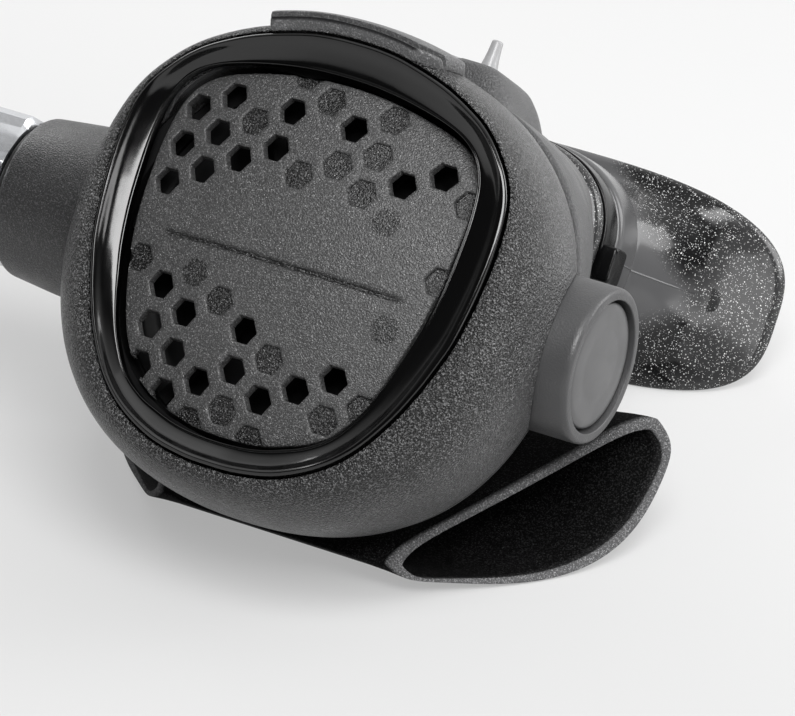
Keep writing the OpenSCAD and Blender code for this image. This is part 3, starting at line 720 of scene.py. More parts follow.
@dataclass(frozen=True)
class Finish:
    """One surface finish, from its plain colour to its grain, flecks and wear.

    Sizes are in mm. A calm attribute, where the piece has one, takes the grain
    and the flecks away where it is 1, and a tone attribute changes the colour
    alone, which is how painted light and painted shade are laid on.
    """

    name: str
    color: Triple
    roughness: float
    rough_spread: float = 0.06
    metallic: float = 0.0
    specular: float = 0.5
    grain_size: float = 0.3
    grain_depth: float = 0.006
    # Share of the painted highlight laid on the grain's crests.
    crest: float = 0.0
    fleck_size: float = 0.22
    fleck_share: float = 0.0
    fleck_level: float = 0.6
    mottle_size: float = 9.0
    mottle: float = 0.12
    scuff: float = 0.15
    calm: str = ""
    calm_color: Triple | None = None
    calm_roughness: float | None = None
    tone: str = ""
    tone_color: Triple | None = None

    @cache
    def material(self) -> bpy.types.Material:
        """The node material of this finish, built at its first use."""
        return FinishTree(self).material


class FinishTree(Nodes):
    """The node tree of one finish."""

    # Colour of the painted highlights on the grain's crests.
    CREST_HIGHLIGHT_COLOR = (0.75, 0.75, 0.76)
    FLECK_COLOR = (0.95, 0.95, 0.95)
    FLECK_PARTS = (1.0, 0.58)
    SCUFF_SIZES = (2.4, 1.7)

    def __init__(self, finish: Finish) -> None:
        """Lays out the nodes.

        Args:
            finish: The finish.
        """
        self.finish = finish
        self.material = bpy.data.materials.new(finish.name)
        self.material.use_nodes = True
        super().__init__(self.material.node_tree)
        self.calm = self._attribute(finish.calm) if finish.calm else None
        values = {
            "Metallic": finish.metallic,
            "Specular IOR Level": finish.specular,
            "Base Color": self._color(),
            "Roughness": self._roughness(),
            "Normal": self._relief(),
        }
        for name, value in values.items():
            self.feed(self.first("BSDF_PRINCIPLED").inputs[name], value)

    def _effect(self, effect: Effect, output: str, **values: float) -> Socket:
        """Places a shared group with its own values and returns one output."""
        node = self.add("Group", values, node_tree=EFFECTS.groups[effect])
        return node.outputs[output]

    def _attribute(self, name: str) -> Socket:
        """The output of a point attribute."""
        return self.add("Attribute", attribute_name=name).outputs["Fac"]

    def _lively(self, value: Socket) -> Socket:
        """Takes a mask away where the surface is calm.

        Args:
            value: The mask.

        Returns:
            What is left of it.
        """
        if self.calm is None:
            return value
        return self.math("MULTIPLY", value, self.math("SUBTRACT", 1.0, self.calm))

    def _spread(
        self, color: Socket, mask: Socket, level: float, over: Triple
    ) -> Socket:
        """Lays a colour over the lively parts of a mask."""
        share = self._lively(self.math("MULTIPLY", mask, level))
        return self.mix(share, color, over)

    def _color(self) -> Socket:
        """Base colour: mottle, then painted highlights on the grain's crests, flecks and scuffs
        over it.

        Returns:
            The output.
        """
        f = self.finish
        dark = tuple(c * (1 - f.mottle) for c in f.color)
        light = tuple(min(1.0, c * (1 + f.mottle)) for c in f.color)
        tone = self._effect(Effect.MOTTLE, "Value", Size=f.mottle_size)
        color = self.mix(tone, dark, light)
        # Painted light and shade: a tone attribute lays its own colour over the piece.
        if f.tone:
            color = self.mix(self._attribute(f.tone), color, f.tone_color)
        if f.calm_color:
            color = self.mix(self.calm, color, f.calm_color)
        # Painted highlight: the grain's crests are made lighter in the colour itself.
        if f.crest > 0:
            crest = self._effect(Effect.GRAIN, "CrestHighlight", Size=f.grain_size)
            color = self._spread(color, crest, f.crest, self.CREST_HIGHLIGHT_COLOR)
        for part in self.FLECK_PARTS if f.fleck_share > 0 else ():
            size = f.fleck_size * part
            mask = self._effect(Effect.FLECK, "Mask", Size=size, Share=f.fleck_share)
            color = self._spread(color, mask, f.fleck_level, self.FLECK_COLOR)
        if f.scuff > 0:
            size = self.SCUFF_SIZES[0]
            mark = self._effect(Effect.SCUFF, "Mask", Size=size, Share=f.scuff)
            worn = tuple(min(1.0, c * 1.5 + 0.02) for c in f.color)
            color = self.mix(self.math("MULTIPLY", mark, 0.35), color, worn)
        return color

    def _roughness(self) -> Socket:
        """Roughness: the plain value, drifting with the mottle and the scuffs.

        Returns:
            The output.
        """
        f = self.finish
        tone = self._effect(Effect.MOTTLE, "Value", Size=f.mottle_size * 0.6)
        drift = self.math("MULTIPLY", tone, 2 * f.rough_spread)
        rough = self.math("ADD", drift, f.roughness - f.rough_spread, clamp=True)
        if f.scuff > 0:
            size = self.SCUFF_SIZES[1]
            mark = self._effect(Effect.SCUFF, "Mask", Size=size, Share=f.scuff)
            more = self.math("MULTIPLY", mark, 0.08)
            rough = self.math("ADD", rough, more, clamp=True)
        if f.calm_roughness:
            change = self.math("SUBTRACT", f.calm_roughness, rough)
            rough = self.math("ADD", rough, self.math("MULTIPLY", change, self.calm))
        return rough

    def _relief(self) -> Socket:
        """Relief: the grain's height, in metres.

        Returns:
            The output.
        """
        height = self._effect(Effect.GRAIN, "Height", Size=self.finish.grain_size)
        inputs = {"Distance": self.finish.grain_depth * MM, "Strength": 1.0}
        inputs["Height"] = self._lively(height)
        return self.add("Bump", inputs).outputs["Normal"]


def grey(level: float, blue: float) -> Triple:
    """A grey with its own blue part."""
    return (level, level, blue)


class Look(Enum):
    """Every finish of the part."""

    # Painted light: the ring's side is painted a lighter grey towards its rear, where the lamps
    # catch it, while the front by the bezel stays dark.
    RING = Finish(
        "ring_grained_plastic", grey(0.003, 0.0031), 0.32, specular=0.4,
        grain_size=0.28, grain_depth=0.28, crest=0.2, fleck_share=0.34,
        fleck_level=0.17, mottle_size=14, scuff=0.1, calm="calm",
        calm_color=grey(0.12, 0.122), calm_roughness=0.4, tone="flank_painted_light",
        tone_color=grey(0.054, 0.055),
    )  # fmt: skip
    BEZEL = Finish(
        "bezel_piano_black", grey(0.001, 0.0011), 0.12, rough_spread=0.02,
        specular=0.6, grain_size=1.8, mottle=0.2, scuff=0.0,
    )  # fmt: skip
    COVER = Finish(
        "cover_sparkle_plastic", grey(0.046, 0.0464), 0.42, grain_size=0.24,
        grain_depth=0.09, crest=0.1, fleck_share=0.2, fleck_level=0.26,
        mottle_size=12, mottle=0.06, tone="shade", tone_color=grey(0.003, 0.0031),
    )  # fmt: skip
    CLIP = Finish(
        "clip_two_textures", grey(0.08, 0.0815), 0.42, grain_size=0.28,
        grain_depth=0.09, crest=0.12, fleck_size=0.24, fleck_share=0.14,
        fleck_level=0.2, calm="calm", calm_color=grey(0.01, 0.0105),
        calm_roughness=0.2,
    )  # fmt: skip
    # Painted shade: the case's inside, within its round wall, is painted near black.
    CASE = Finish(
        "case_satin_grey", grey(0.072, 0.0735), 0.38, specular=0.35,
        grain_size=0.26, grain_depth=0.1, crest=0.04, mottle_size=10, mottle=0.06,
        tone="inside", tone_color=grey(0.003, 0.003),
    )  # fmt: skip
    # Partly painted shade: the inner parts are dark moulded pieces, made darker still for the
    # shade inside the case.
    INNER = Finish(
        "inner_dark_with_painted_shade", grey(0.003, 0.0032), 0.7, specular=0.15,
        grain_depth=0.01,
    )  # fmt: skip
    SLEEVE = Finish(
        "sleeve_satin_dark", grey(0.022, 0.0227), 0.4, grain_size=0.22,
        grain_depth=0.07, crest=0.07, fleck_size=0.2, fleck_share=0.12,
        fleck_level=0.12,
    )  # fmt: skip
    CHROME = Finish(
        "inlet_chrome_plate", (0.62, 0.63, 0.65), 0.2, metallic=1.0,
        rough_spread=0.05, grain_size=0.8, grain_depth=0.008, mottle=0.05,
    )  # fmt: skip
    CAP = Finish(
        "cap_satin_grey", grey(0.06, 0.0615), 0.4, grain_size=0.28,
        grain_depth=0.03, mottle=0.05,
    )  # fmt: skip
    DISC = Finish(
        "disc_satin_grey", grey(0.085, 0.0867), 0.34, grain_size=0.25,
        grain_depth=0.003, mottle=0.05,
    )  # fmt: skip
    # Painted light: the rims of the open ends are painted a lighter grey where the lamps catch
    # them; away from them the grain, flecks and crest highlights mostly go.
    TEE = Finish(
        "tee_grained_rubber", grey(0.001, 0.0011), 0.65, specular=0.06,
        grain_size=0.26, grain_depth=0.16, crest=0.22, fleck_share=0.14,
        fleck_level=0.34, calm="still", tone="rim", tone_color=grey(0.1, 0.102),
    )  # fmt: skip
    MOUTHPIECE = Finish(
        "mouthpiece_glitter_silicone", grey(0.006, 0.0063), 0.17,
        rough_spread=0.03, specular=0.35, grain_size=1.6, grain_depth=0.012,
        fleck_size=0.27, fleck_share=0.2, fleck_level=0.85, mottle=0.2, scuff=0.0,
        # Partly painted light: the collar is calm, without glitter, and painted a lighter grey
        # where light falls on it.
        calm="collar", calm_color=grey(0.085, 0.087), calm_roughness=0.18,
        # Painted light: the flange past its fold is painted a lighter grey.
        tone="painted_light_past_fold", tone_color=grey(0.034, 0.0347),
    )  # fmt: skip
    STRAP = Finish(
        "strap_black_nylon", grey(0.002, 0.0022), 0.2, specular=0.25, grain_size=0.5
    )
    RUBBER = Finish("seal_black_rubber", grey(0.012, 0.012), 0.5)
    SILICONE = Finish(
        "diaphragm_dark_silicone", grey(0.008, 0.0085), 0.5, specular=0.2,
        grain_size=0.6,
    )  # fmt: skip
    STEEL = Finish("springs_drawn_steel", grey(0.55, 0.56), 0.3, metallic=1.0)
    BRASS = Finish(
        "barrel_plated_brass", (0.62, 0.6, 0.55), 0.25, metallic=1.0, grain_size=0.4
    )
    PALE = Finish(
        "lever_pale_nylon", grey(0.34, 0.345), 0.32, grain_size=0.5, mottle=0.08
    )

    def dress(self, obj: Piece) -> None:
        """Makes this finish the object's only material."""
        obj.data.materials.clear()
        obj.data.materials.append(self.value.material())


def paint(obj: Piece, name: str, values: Points) -> None:
    """Stores one number for each point of the mesh under an attribute's name."""
    layer = obj.data.attributes.new(name, "FLOAT", "POINT")
    layer.data.foreach_set("value", np.asarray(values, np.float32))


class Role(Enum):
    """A piece's body, the node that it replaces, its material slot and its finish."""

    RING = ("second_stage", "front_ring", "ring_plastic", Look.RING)
    BEZEL = ("second_stage", "gloss_bezel", "bezel_gloss", Look.BEZEL)
    COVER = ("purge", "purge_cover", "cover_plastic", Look.COVER)
    CLIP = ("second_stage", "top_clip", "clip_gloss", Look.CLIP)
    CASE = ("second_stage", "rear_case", "case_plastic", Look.CASE)
    SLEEVE = ("second_stage", "barrel_sleeve", "sleeve_plastic", Look.SLEEVE)
    INLET = ("second_stage", "inlet_fitting", "inlet_chrome", Look.CHROME)
    SEALS = ("second_stage", "o_rings", "seal_rubber", Look.RUBBER)
    CAP = ("second_stage", "side_cap", "cap_plastic", Look.CAP)
    DISC = ("second_stage", "side_cap_disc", "disc_plastic", Look.DISC)
    LEVER = ("venturi", "venturi_lever", "disc_plastic", Look.PALE)
    TEE = ("second_stage", "exhaust_tee", "tee_rubber", Look.TEE)
    MOUTH = ("second_stage", "mouthpiece", "mouthpiece_silicone", Look.MOUTHPIECE)
    STRAP = ("second_stage", "tie_wrap", "strap_plastic", Look.STRAP)
    MEMBRANE = ("second_stage", "diaphragm", "diaphragm_silicone", Look.SILICONE)
    FLAP = ("second_stage", "exhaust_valve", "diaphragm_silicone", Look.SILICONE)
    PURGE_COIL = ("second_stage", "purge_spring", "spring_steel", Look.STEEL)
    POPPET_COIL = ("second_stage", "poppet_spring", "spring_steel", Look.STEEL)

    def take(self, obj: Piece) -> None:
        """Dresses a piece, hangs it on its body in place of its node, and logs it.

        Args:
            obj: The piece.
        """
        body, node, slot_name, look = self.value
        look.dress(obj)
        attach(obj, body)
        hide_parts(node)
        LOG.info("%s: %d faces on %s", obj.name, len(obj.data.polygons), body)


# ---- ring, bezel and clip ----------------------------------------------------


@dataclass
class RingShape:
    """The sizes that the ring, the bezel, the clip and the case share."""

    skirt_r: float = 30.3
    bulge_a: float = 35.4
    bulge_b: float = 33.6
    bulge_n: float = 2.2
    bulge_mid: float = -0.3
    bulge_y: float = 15.2
    front_y: float = 0.5
    front_angle: float = 12.0
    rear_y: float = 25.4
    rear_in: Pair = (2.6, 1.4)
    gap: float = 0.8
    cover_mid: float = -0.35
    crease_mid: float = 0.6
    cover_knots: tuple[Pair, ...] = (
        (0, 25.1), (5.1, 24.9), (10.2, 24.2), (15.65, 22.95), (19.25, 21.55),
        (21.55, 19.55), (22.9, 16.6), (23.35, 13), (23.4, 9), (23.05, 2), (22.25, -3.6),
        (21.15, -8), (19.95, -12), (18.35, -15.8), (15.65, -19.9), (12.8, -22.1),
        (9.9, -23.35), (5.5, -24.6), (0, -25),
    )  # fmt: skip
    crease_knots: tuple[Pair, ...] = (
        (0, 31), (4, 30.85), (8.2, 30.2), (14.7, 28.3), (20, 25.8), (23, 23.7),
        (25.3, 21.3), (27.3, 18.6), (28.6, 15.6), (29.2, 12), (29.35, 7.5),
        (29, 2.2), (28.1, -3.9), (26.9, -8), (25.3, -12.3), (22.9, -17.2),
        (19.4, -22.2), (15.2, -25.8), (9.8, -28.4), (4.4, -29.5), (0, -29.7),
    )  # fmt: skip

    def __post_init__(self) -> None:
        """Works out the outlines of cover, crease and bulge."""
        self.cover = shield_outline(self.cover_knots, self.cover_mid)
        self.crease = shield_outline(self.crease_knots, self.crease_mid)
        self.bulge = round_outline(
            self.bulge_a, self.bulge_b, self.bulge_n, self.bulge_mid
        )

    def cover_ring(self, y: float, grow: float) -> Points:
        """The purge cover's outline, made larger by grow."""
        return at_depth(grown(self.cover, grow), y)

    def crease_ring(self, y: float, grow: float) -> Points:
        """The outline where ring and bezel meet, made larger by grow."""
        return at_depth(grown(self.crease, grow), y)

    def front_ring(self, s: float) -> Points:
        """A ring of the outside between the crease, s = 0, and the bulge, s = 1.

        Formula: the mix of the two outlines grows with the sine of an angle
        from front_angle to 90 degrees, and the depth with one minus the cosine
        of 90 s degrees, so the side is a quarter turn.

        Args:
            s: Place between crease and bulge.

        Returns:
            The ring's points.
        """
        low = math.sin(math.radians(self.front_angle))
        angle = math.radians(self.front_angle + (90 - self.front_angle) * s)
        share = (math.sin(angle) - low) / (1 - low)
        rise = 1 - math.cos(math.radians(90 * s))
        depth = self.front_y + (self.bulge_y - self.front_y) * rise
        return at_depth((1 - share) * self.crease + share * self.bulge, depth)

    def rear_ring(self, s: float, grow: float) -> Points:
        """A ring of the outside from the bulge, s = 0, to the rear edge, s = 1.

        Formula: the half sizes shrink with s squared.

        Args:
            s: Place between bulge and rear edge.
            grow: How much larger both half sizes are made.

        Returns:
            The ring's points.
        """
        a, b = (
            half - shrink * s * s + grow
            for half, shrink in zip((self.bulge_a, self.bulge_b), self.rear_in)
        )
        outline = round_outline(a, b, self.bulge_n, self.bulge_mid)
        return at_depth(outline, self.bulge_y + (self.rear_y - self.bulge_y) * s)


@dataclass
class FrontRing:
    """The dark, grainy ring that screws onto the case.

    A notch has its start and end along the valve's axis and its radius.
    """

    shape: RingShape
    band_y: float = 22.6
    band_step: float = 0.12
    band_calm: float = 0.5
    # Painted light: depths over which the ring's side is painted lighter.
    flank_painted_light: Pair = (3.0, 17.0)
    edge: float = 0.7
    play: float = 0.1
    seat_y: float = 4.4
    lip_y: float = 3.2
    lip_gap: float = 2.4
    sleeve_notch: Triple = (-43.0, -8.0, 13.3)
    cap_notch: Triple = (8.0, 43.0, 11.2)

    def rings(self) -> Points:
        """The outside in fine steps, the rear edge, and the plain inside.

        Returns:
            Rings by points by 3.
        """
        shape = self.shape
        outside = [shape.front_ring(s) for s in np.linspace(0, 1, 26)]
        for s in np.linspace(0, 1, 22)[1:]:
            y = shape.bulge_y + (shape.rear_y - shape.bulge_y) * s
            drop = float(smooth_step(y, self.band_y - 0.25, self.band_y))
            outside.append(shape.rear_ring(s, -self.band_step * drop))
        bore = shape.skirt_r + self.play
        inside = [oval(y, bore, bore) for y in (shape.rear_y, self.seat_y)]
        inside += [shape.cover_ring(y, self.lip_gap) for y in (self.seat_y, self.lip_y)]
        inside.append(shape.crease_ring(self.lip_y, -0.2))
        count = len(outside)
        radii = {0: 0.3, count - 1: self.edge, count: 0.3, -1: 0.2}
        return soften(np.stack(outside + inside), radii, closed=True)

    def build(self) -> None:
        """Builds, notches and dresses the ring."""
        obj = Skin().grid(self.rings(), looped=True).build("ring_grained")
        sizes = (self.sleeve_notch, self.cap_notch)
        notches = [rod(Axis.VALVE, *size, 160) for size in sizes]
        combine(obj, notches, "DIFFERENCE")
        y = BODY.read(obj)[1]
        band = smooth_step(y, self.band_y - 0.3, self.band_y)
        paint(obj, "calm", self.band_calm * band)
        # Painted light: the side grows lighter towards the rear.
        paint(obj, "flank_painted_light", smooth_step(y, *self.flank_painted_light))
        Role.RING.take(obj)


@dataclass
class GlossBezel:
    """The piano-black channel between the ring and the purge cover.

    Each floor knot has a depth and a share of the way from cover to crease, and
    each hidden corner a depth and how far it lies inside the crease.
    """

    shape: RingShape
    floor: tuple[Pair, ...] = (
        (-0.1, 1.0), (0.2, 0.88), (0.85, 0.68), (1.45, 0.42),
        (1.85, 0.22), (2.0, 0.1), (1.8, 0.045), (1.85, 0.0),
    )  # fmt: skip
    lip_in: float = 0.8
    hidden: tuple[Pair, ...] = ((3.2, 0.3), (0.9, 0.3), (0.15, 0.35))

    def rings(self) -> Points:
        """The channel's floor from the outer lip to the inner edge, then its back.

        Formula: each floor ring is the mix of the cover's and the crease's
        outlines at its own share, with the shares on a smooth curve.

        Returns:
            Rings by points by 3.
        """
        shape = self.shape
        rings = [
            (1 - share) * shape.cover_ring(y, shape.gap)
            + share * shape.crease_ring(y, -self.lip_in)
            for y, share in spline(self.floor, 5)
        ]
        radii = {0: 0.35, len(rings) - 1: 0.18, -1: 0.3}
        rings.append(shape.cover_ring(self.hidden[0][0], shape.gap))
        rings += [shape.crease_ring(y, -inside) for y, inside in self.hidden]
        return soften(np.stack(rings), radii, closed=True, steps=5)

    def build(self) -> None:
        """Builds and dresses the bezel."""
        skin = Skin().grid(self.rings(), looped=True)
        Role.BEZEL.take(skin.build("bezel_channel", 60))


@dataclass
class TopClip:
    """The clip over the ring's top: a rolled lip in front of a grained band.

    Places across it are shares s of the way from the ring's crease to its bulge.
    The seam rises over seam_rise, and the outer edges are rounded over the
    shares end_fade along the clip and back_fade across it.
    """

    shape: RingShape
    count: tuple[int, int] = (110, 48)
    half_angle: float = 22.76
    middle: float = 90.85
    lip_end: float = 0.25
    front: float = 0.03
    tip: float = 0.22
    tip_from: float = 0.85
    back: float = 0.74
    height: float = 1.7
    roll: float = 0.78
    under: float = 0.05
    lean_back: float = 0.8
    seam_rise: float = 0.03
    end_fade: float = 0.02
    back_fade: float = 0.06

    def rings(self) -> Points:
        """The clip's closed sections, one for each angle along the ring.

        Formula: a section runs over the ring's own surface from s = front to
        s = back, lifted by a height that first swells as a roll, dips at the
        seam and then stays at the full height. At the right end the front edge
        slides back, which draws the clip out to a point.

        Returns:
            Sections by points by 3.
        """
        along = np.linspace(0, 1, self.count[0])
        angle = np.radians(self.middle + self.half_angle * (1 - 2 * along))
        v = np.linspace(0, 1, self.count[1])[:, None]
        tip = np.clip((along - self.tip_from) / (1 - self.tip_from), 0, 1)
        front = self.front + self.tip * tip
        at = self._on_ring(front + (self.back - front) * v, angle)
        roll = np.sin(np.pi * np.clip(v / self.lip_end, 0, 1)) ** 0.5
        step = smooth_step(v, self.lip_end, self.lip_end + self.seam_rise)
        end = np.minimum(1, np.minimum(along, 1 - along) / self.end_fade) ** 0.5
        edge = np.minimum(1, (1 - v) / self.back_fade) ** 0.5
        up = self.height * np.maximum(self.roll * roll, step)
        up = up * (0.35 + 0.65 * end) * (0.25 + 0.75 * edge)
        deep = np.minimum(0, at[..., 1] / self.shape.bulge_y - 1) * self.lean_back
        out = [np.cos(angle) + 0 * deep, deep, np.sin(angle) + 0 * deep]
        out = np.stack(out, axis=-1)
        lines = [at + up[..., None] * out, (at + self.under * out)[::-1]]
        return np.concatenate(lines).swapaxes(0, 1)

    def _on_ring(self, s: Points, angle: Points) -> Points:
        """Points of the ring's surface, read between its rings and their points.

        Args:
            s: Places between crease and bulge, lines by points.
            angle: Angle round the ring of each point.

        Returns:
            Lines by points by 3.
        """
        fine = 100
        table = [self.shape.front_ring(k / fine) for k in range(int(0.8 * fine) + 1)]
        column = angle / (2 * np.pi) * RING_POINTS
        i, j = np.floor(s * fine).astype(int), np.floor(column).astype(int)
        u, w = (s * fine - i)[..., None], (column - j)[:, None]
        table = np.stack(table)
        near, far = (
            (1 - w) * table[row, j] + w * table[row, j + 1] for row in (i, i + 1)
        )
        return (1 - u) * near + u * far

    def build(self) -> None:
        """Builds and dresses the clip, whose lip is calm."""
        obj = Skin().grid(self.rings(), capped=True).build("clip_rolled", 50)
        lip_s = self.front + (self.back - self.front) * self.lip_end
        seam = self.shape.front_ring(lip_s)[0, 1]
        seam -= self.height * self.lean_back * (1 - seam / self.shape.bulge_y)
        y = BODY.read(obj)[1]
        paint(obj, "calm", 1 - smooth_step(y, seam - 0.35, seam - 0.15))
        Role.CLIP.take(obj)


# ---- purge cover -------------------------------------------------------------


class Cell(Enum):
    """A kind of hexagon: half its width, its depth and its wall's width."""

    OPEN = (1.8, 0.75, 0.1)
    SHALLOW = (1.9, 0.34, 0.12)
    ROUGH = (1.9, 0.0, 0.12)
    NOTCH = (1.9, 0.46, 0.12)


@dataclass
class PurgeCover:
    """The domed plate with its hexagons and a groove across its middle."""

    shape: RingShape
    thick: float = 1.45
    dome_r: float = 90.0
    pitch: float = 5.5
    first: Pair = (-15.7, 8.6)
    corner: float = 0.35
    lip: float = 0.3
    lip_drop: float = 0.16
    edge: float = 0.28
    groove_z: float = -0.8
    groove_end: Pair = (17.0, 19.5)
    groove_drop: float = 0.55
    groove_half: float = 0.34
    plunger_r: float = 4.0
    plunger_end: float = 8.6
    cells: dict[Cell, list[tuple[int, int]]] = field(
        default_factory=lambda: {
            Cell.OPEN: [(0, 0), (1, 0), (2, 0), (4, 0), (0, 1), (2, 1), (6, -2)]
            + [(7, -2), (-1, 0), (-1, 1), (-1, 2), (0, 2), (0, -3), (1, -4)]
            + [(0, -4), (1, -5), (3, -5), (3, -6), (2, -6), (4, -7), (5, -7)]
            + [(6, -7), (1, -6), (0, -5)],
            Cell.SHALLOW: [(1, 1), (3, 1), (5, 0), (3, -1), (4, -1), (5, -1)]
            + [(5, -2), (2, -4), (4, -6), (3, -7), (6, -8)],
            Cell.ROUGH: [(6, -3), (1, -3), (7, -6)],
            Cell.NOTCH: [(8, -3), (8, -5), (-1, -2), (7, -8), (2, -7), (4, -8)]
            + [(2, 2)],
        }
    )

    def centre(self, cell: tuple[int, int]) -> Pair:
        """Middle of a hexagon of the pattern.

        Args:
            cell: Its column and its row.

        Returns:
            x and z.
        """
        across = self.pitch * math.cos(math.radians(30))
        up = (cell[0] / 2 + cell[1]) * self.pitch
        return self.first[0] + cell[0] * across, self.first[1] + up

    def hexagon(self, centre: Pair, half: float) -> Points:
        """A hexagon's outline with rounded corners.

        Formula: the corner points lie at half / cos 30; each corner is bent as
        soften does, and each side is split evenly.

        Args:
            centre: Its middle.
            half: Half its width across flats.

        Returns:
            Rows of x and z.
        """
        angle = np.radians(60 * np.arange(6))
        corners = np.stack([np.cos(angle), np.sin(angle)], axis=-1)
        corners = corners * half / math.cos(math.radians(30))
        before, after = np.roll(corners, 1, 0), np.roll(corners, -1, 0)
        side = np.linalg.norm(after - corners, axis=1, keepdims=True)
        a = corners + (before - corners) / side * self.corner
        b = corners + (after - corners) / side * self.corner
        t = np.linspace(0, 1, 4)[None, :, None]
        u = np.linspace(0, 1, 6)[None, 1:-1, None]
        round_part = bend(a[:, None], corners[:, None], b[:, None], t)
        run = b[:, None] * (1 - u) + np.roll(a, -1, 0)[:, None] * u
        return np.concatenate([round_part, run], axis=1).reshape(-1, 2) + centre

    def hex_depth(self, xz: Points, cell: tuple[int, int], kind: Cell) -> Points:
        """Distance inside a hexagon's nearest side, negative outside.

        Args:
            xz: Rows of x and z.
            cell: The hexagon's column and row.
            kind: Its kind.

        Returns:
            One number for each point.
        """
        angle = np.radians(30 + 60 * np.arange(6))
        normal = np.stack([np.cos(angle), np.sin(angle)])
        return kind.value[0] - ((xz - self.centre(cell)) @ normal).max(1)

    def rim_depth(self, xz: Points) -> Points:
        """How far points lie inside the cover's outline, in mm.

        Formula: the distance to the nearest point of the outline along that
        point's normal, which is negative outside.

        Args:
            xz: Rows of x and z.

        Returns:
            One number for each point.
        """
        edge = self.shape.cover
        inward = edge - grown(edge, 1.0)
        away = xz[:, None] - edge[None]
        near = np.argmin((away**2).sum(-1), axis=1)
        return (away[np.arange(len(xz)), near] * inward[near]).sum(-1)

    def dome(self, xz: Points, depth: float = 0.0) -> Points:
        """Depth of the dome below its apex: R - sqrt((R - d)^2 - x^2 - z^2)."""
        square = (xz**2).sum(1)
        return self.dome_r - np.sqrt((self.dome_r - depth) ** 2 - square)

    def groove(self, xz: Points, half: float, lift: float = 0.0) -> Points:
        """A line of exp(-(z / half)^2) across the plate that fades at both ends."""
        fade = 1 - smooth_step(np.abs(xz[:, 0]), *self.groove_end)
        return fade * np.exp(-(((xz[:, 1] - self.groove_z + lift) / half) ** 2))

    def relief(self, xz: Points) -> Points:
        """How far the front face lies below the dome.

        Formula: a quarter round at the edge, then for each hexagon a lip that
        sinks with the square of the place across it and a straight wall, then
        the groove.

        Args:
            xz: Rows of x and z.

        Returns:
            One number for each point.
        """
        inside = np.clip(self.rim_depth(xz) / self.edge, 0, 1)
        drop = self.edge * 0.8 * (1 - np.sqrt(1 - (1 - inside) ** 2))
        for kind, cells in self.cells.items():
            _, depth, wall = kind.value
            for cell in cells if depth else ():
                inside = self.hex_depth(xz, cell, kind)
                sunk = self.lip_drop * np.clip(inside / self.lip + 1, 0, 1) ** 2
                drop = drop + (sunk + depth * np.clip(inside / wall, 0, 1))
        return drop + self.groove_drop * self.groove(xz, self.groove_half)

    def loops(self) -> list[Points]:
        """The closed lines that the triangles must follow.

        Returns:
            Rows of x and z for each line.
        """
        loops = [grown(self.shape.cover, -inset) for inset in (0.0, 0.04, 0.12, 0.28)]
        for kind, cells in self.cells.items():
            for cell in cells:
                for inset in (-0.32, -0.16, -0.06, 0.0, 0.11):
                    loop = self.hexagon(self.centre(cell), kind.value[0] - inset)
                    loops.append(self.held_in(loop))
        return loops

    def held_in(self, loop: Points, margin: float = 0.32) -> Points:
        """Moves the points of a loop that lie too near the edge back inwards.

        Args:
            loop: Rows of x and z.
            margin: The least distance from the edge.

        Returns:
            The loop's points.
        """
        edge = grown(self.shape.cover, -margin)
        lack = margin - self.rim_depth(loop)
        near = np.argmin(((loop[:, None] - edge[None]) ** 2).sum(-1), axis=1)
        return np.where(lack[:, None] > 0, edge[near], loop)

    def fill(self) -> Points:
        """Loose points of the plate: a staggered field, and lines by the groove.

        Returns:
            Rows of x and z.
        """
        row = np.arange(-24, 24.1, 0.9)
        x, z = np.meshgrid(row, row)
        x = x + (np.arange(len(row)) % 2)[:, None] * 0.45
        line = np.arange(-19.6, 19.7, 0.5)
        blocks = [np.stack([x.ravel(), z.ravel()], axis=-1)]
        for away in (-0.8, -0.5, -0.3, -0.12, 0.06, 0.25, 0.45, 0.75):
            height = np.full_like(line, self.groove_z + away)
            blocks.append(np.stack([line, height], axis=-1))
        points = np.concatenate(blocks)
        return points[self.rim_depth(points) > 0.9]

    def sheet(self) -> tuple[Points, Faces]:
        """The flat triangulation of the plate, without its open hexagons.

        Returns:
            Points of x and z, and the triangles between them.
        """
        loops = self.loops()
        first, edges = 0, []
        for loop in loops:
            ring = first + np.arange(len(loop))
            edges.append(np.stack([ring, np.roll(ring, -1)], axis=-1))
            first += len(loop)
        points = np.concatenate([*loops, self.fill()])
        result = delaunay_2d_cdt(
            [Vector(p) for p in points.tolist()],
            np.concatenate(edges).tolist(),
            [],
            0,
            1e-5,
        )
        flat = np.array([tuple(v) for v in result[0]])
        faces = np.array([tuple(f) for f in result[2]])
        middle = flat[faces].mean(1)
        keep = self.rim_depth(middle) > 0
        for cell in self.cells[Cell.OPEN]:
            keep &= self.hex_depth(middle, cell, Cell.OPEN) < 0.105
        a, b, c = (flat[faces[:, k]] for k in range(3))
        return flat, faces[keep & (np.abs(np.cross(b - a, c - a)) > 1e-7)]

    def plate(self) -> Skin:
        """The plate as a closed skin.

        The same flat triangulation is lifted twice: onto the dome less the
        relief for the front, and onto the inner dome for the back. Each edge
        that only one triangle uses gets a wall between the two.

        Returns:
            The skin.
        """
        flat, faces = self.sheet()
        used, faces = np.unique(faces, return_inverse=True)
        faces, flat, n = faces.reshape(-1, 3), flat[used], len(used)
        front = self.dome(flat) + self.relief(flat)
        back = np.maximum(self.dome(flat, self.thick), front + 0.25)
        points = np.concatenate([at_depth(flat, y) for y in (front, back)])
        edges = np.concatenate([faces[:, [0, 1]], faces[:, [1, 2]], faces[:, [2, 0]]])
        _, where, times = np.unique(
            np.sort(edges, axis=1), axis=0, return_index=True, return_counts=True
        )
        a, b = edges[where[times == 1]].T
        walls = [np.stack([a, b, b + n], 1), np.stack([a, b + n, a + n], 1)]
        return Skin().triangles(points, np.concatenate([faces, faces + n, *walls]))

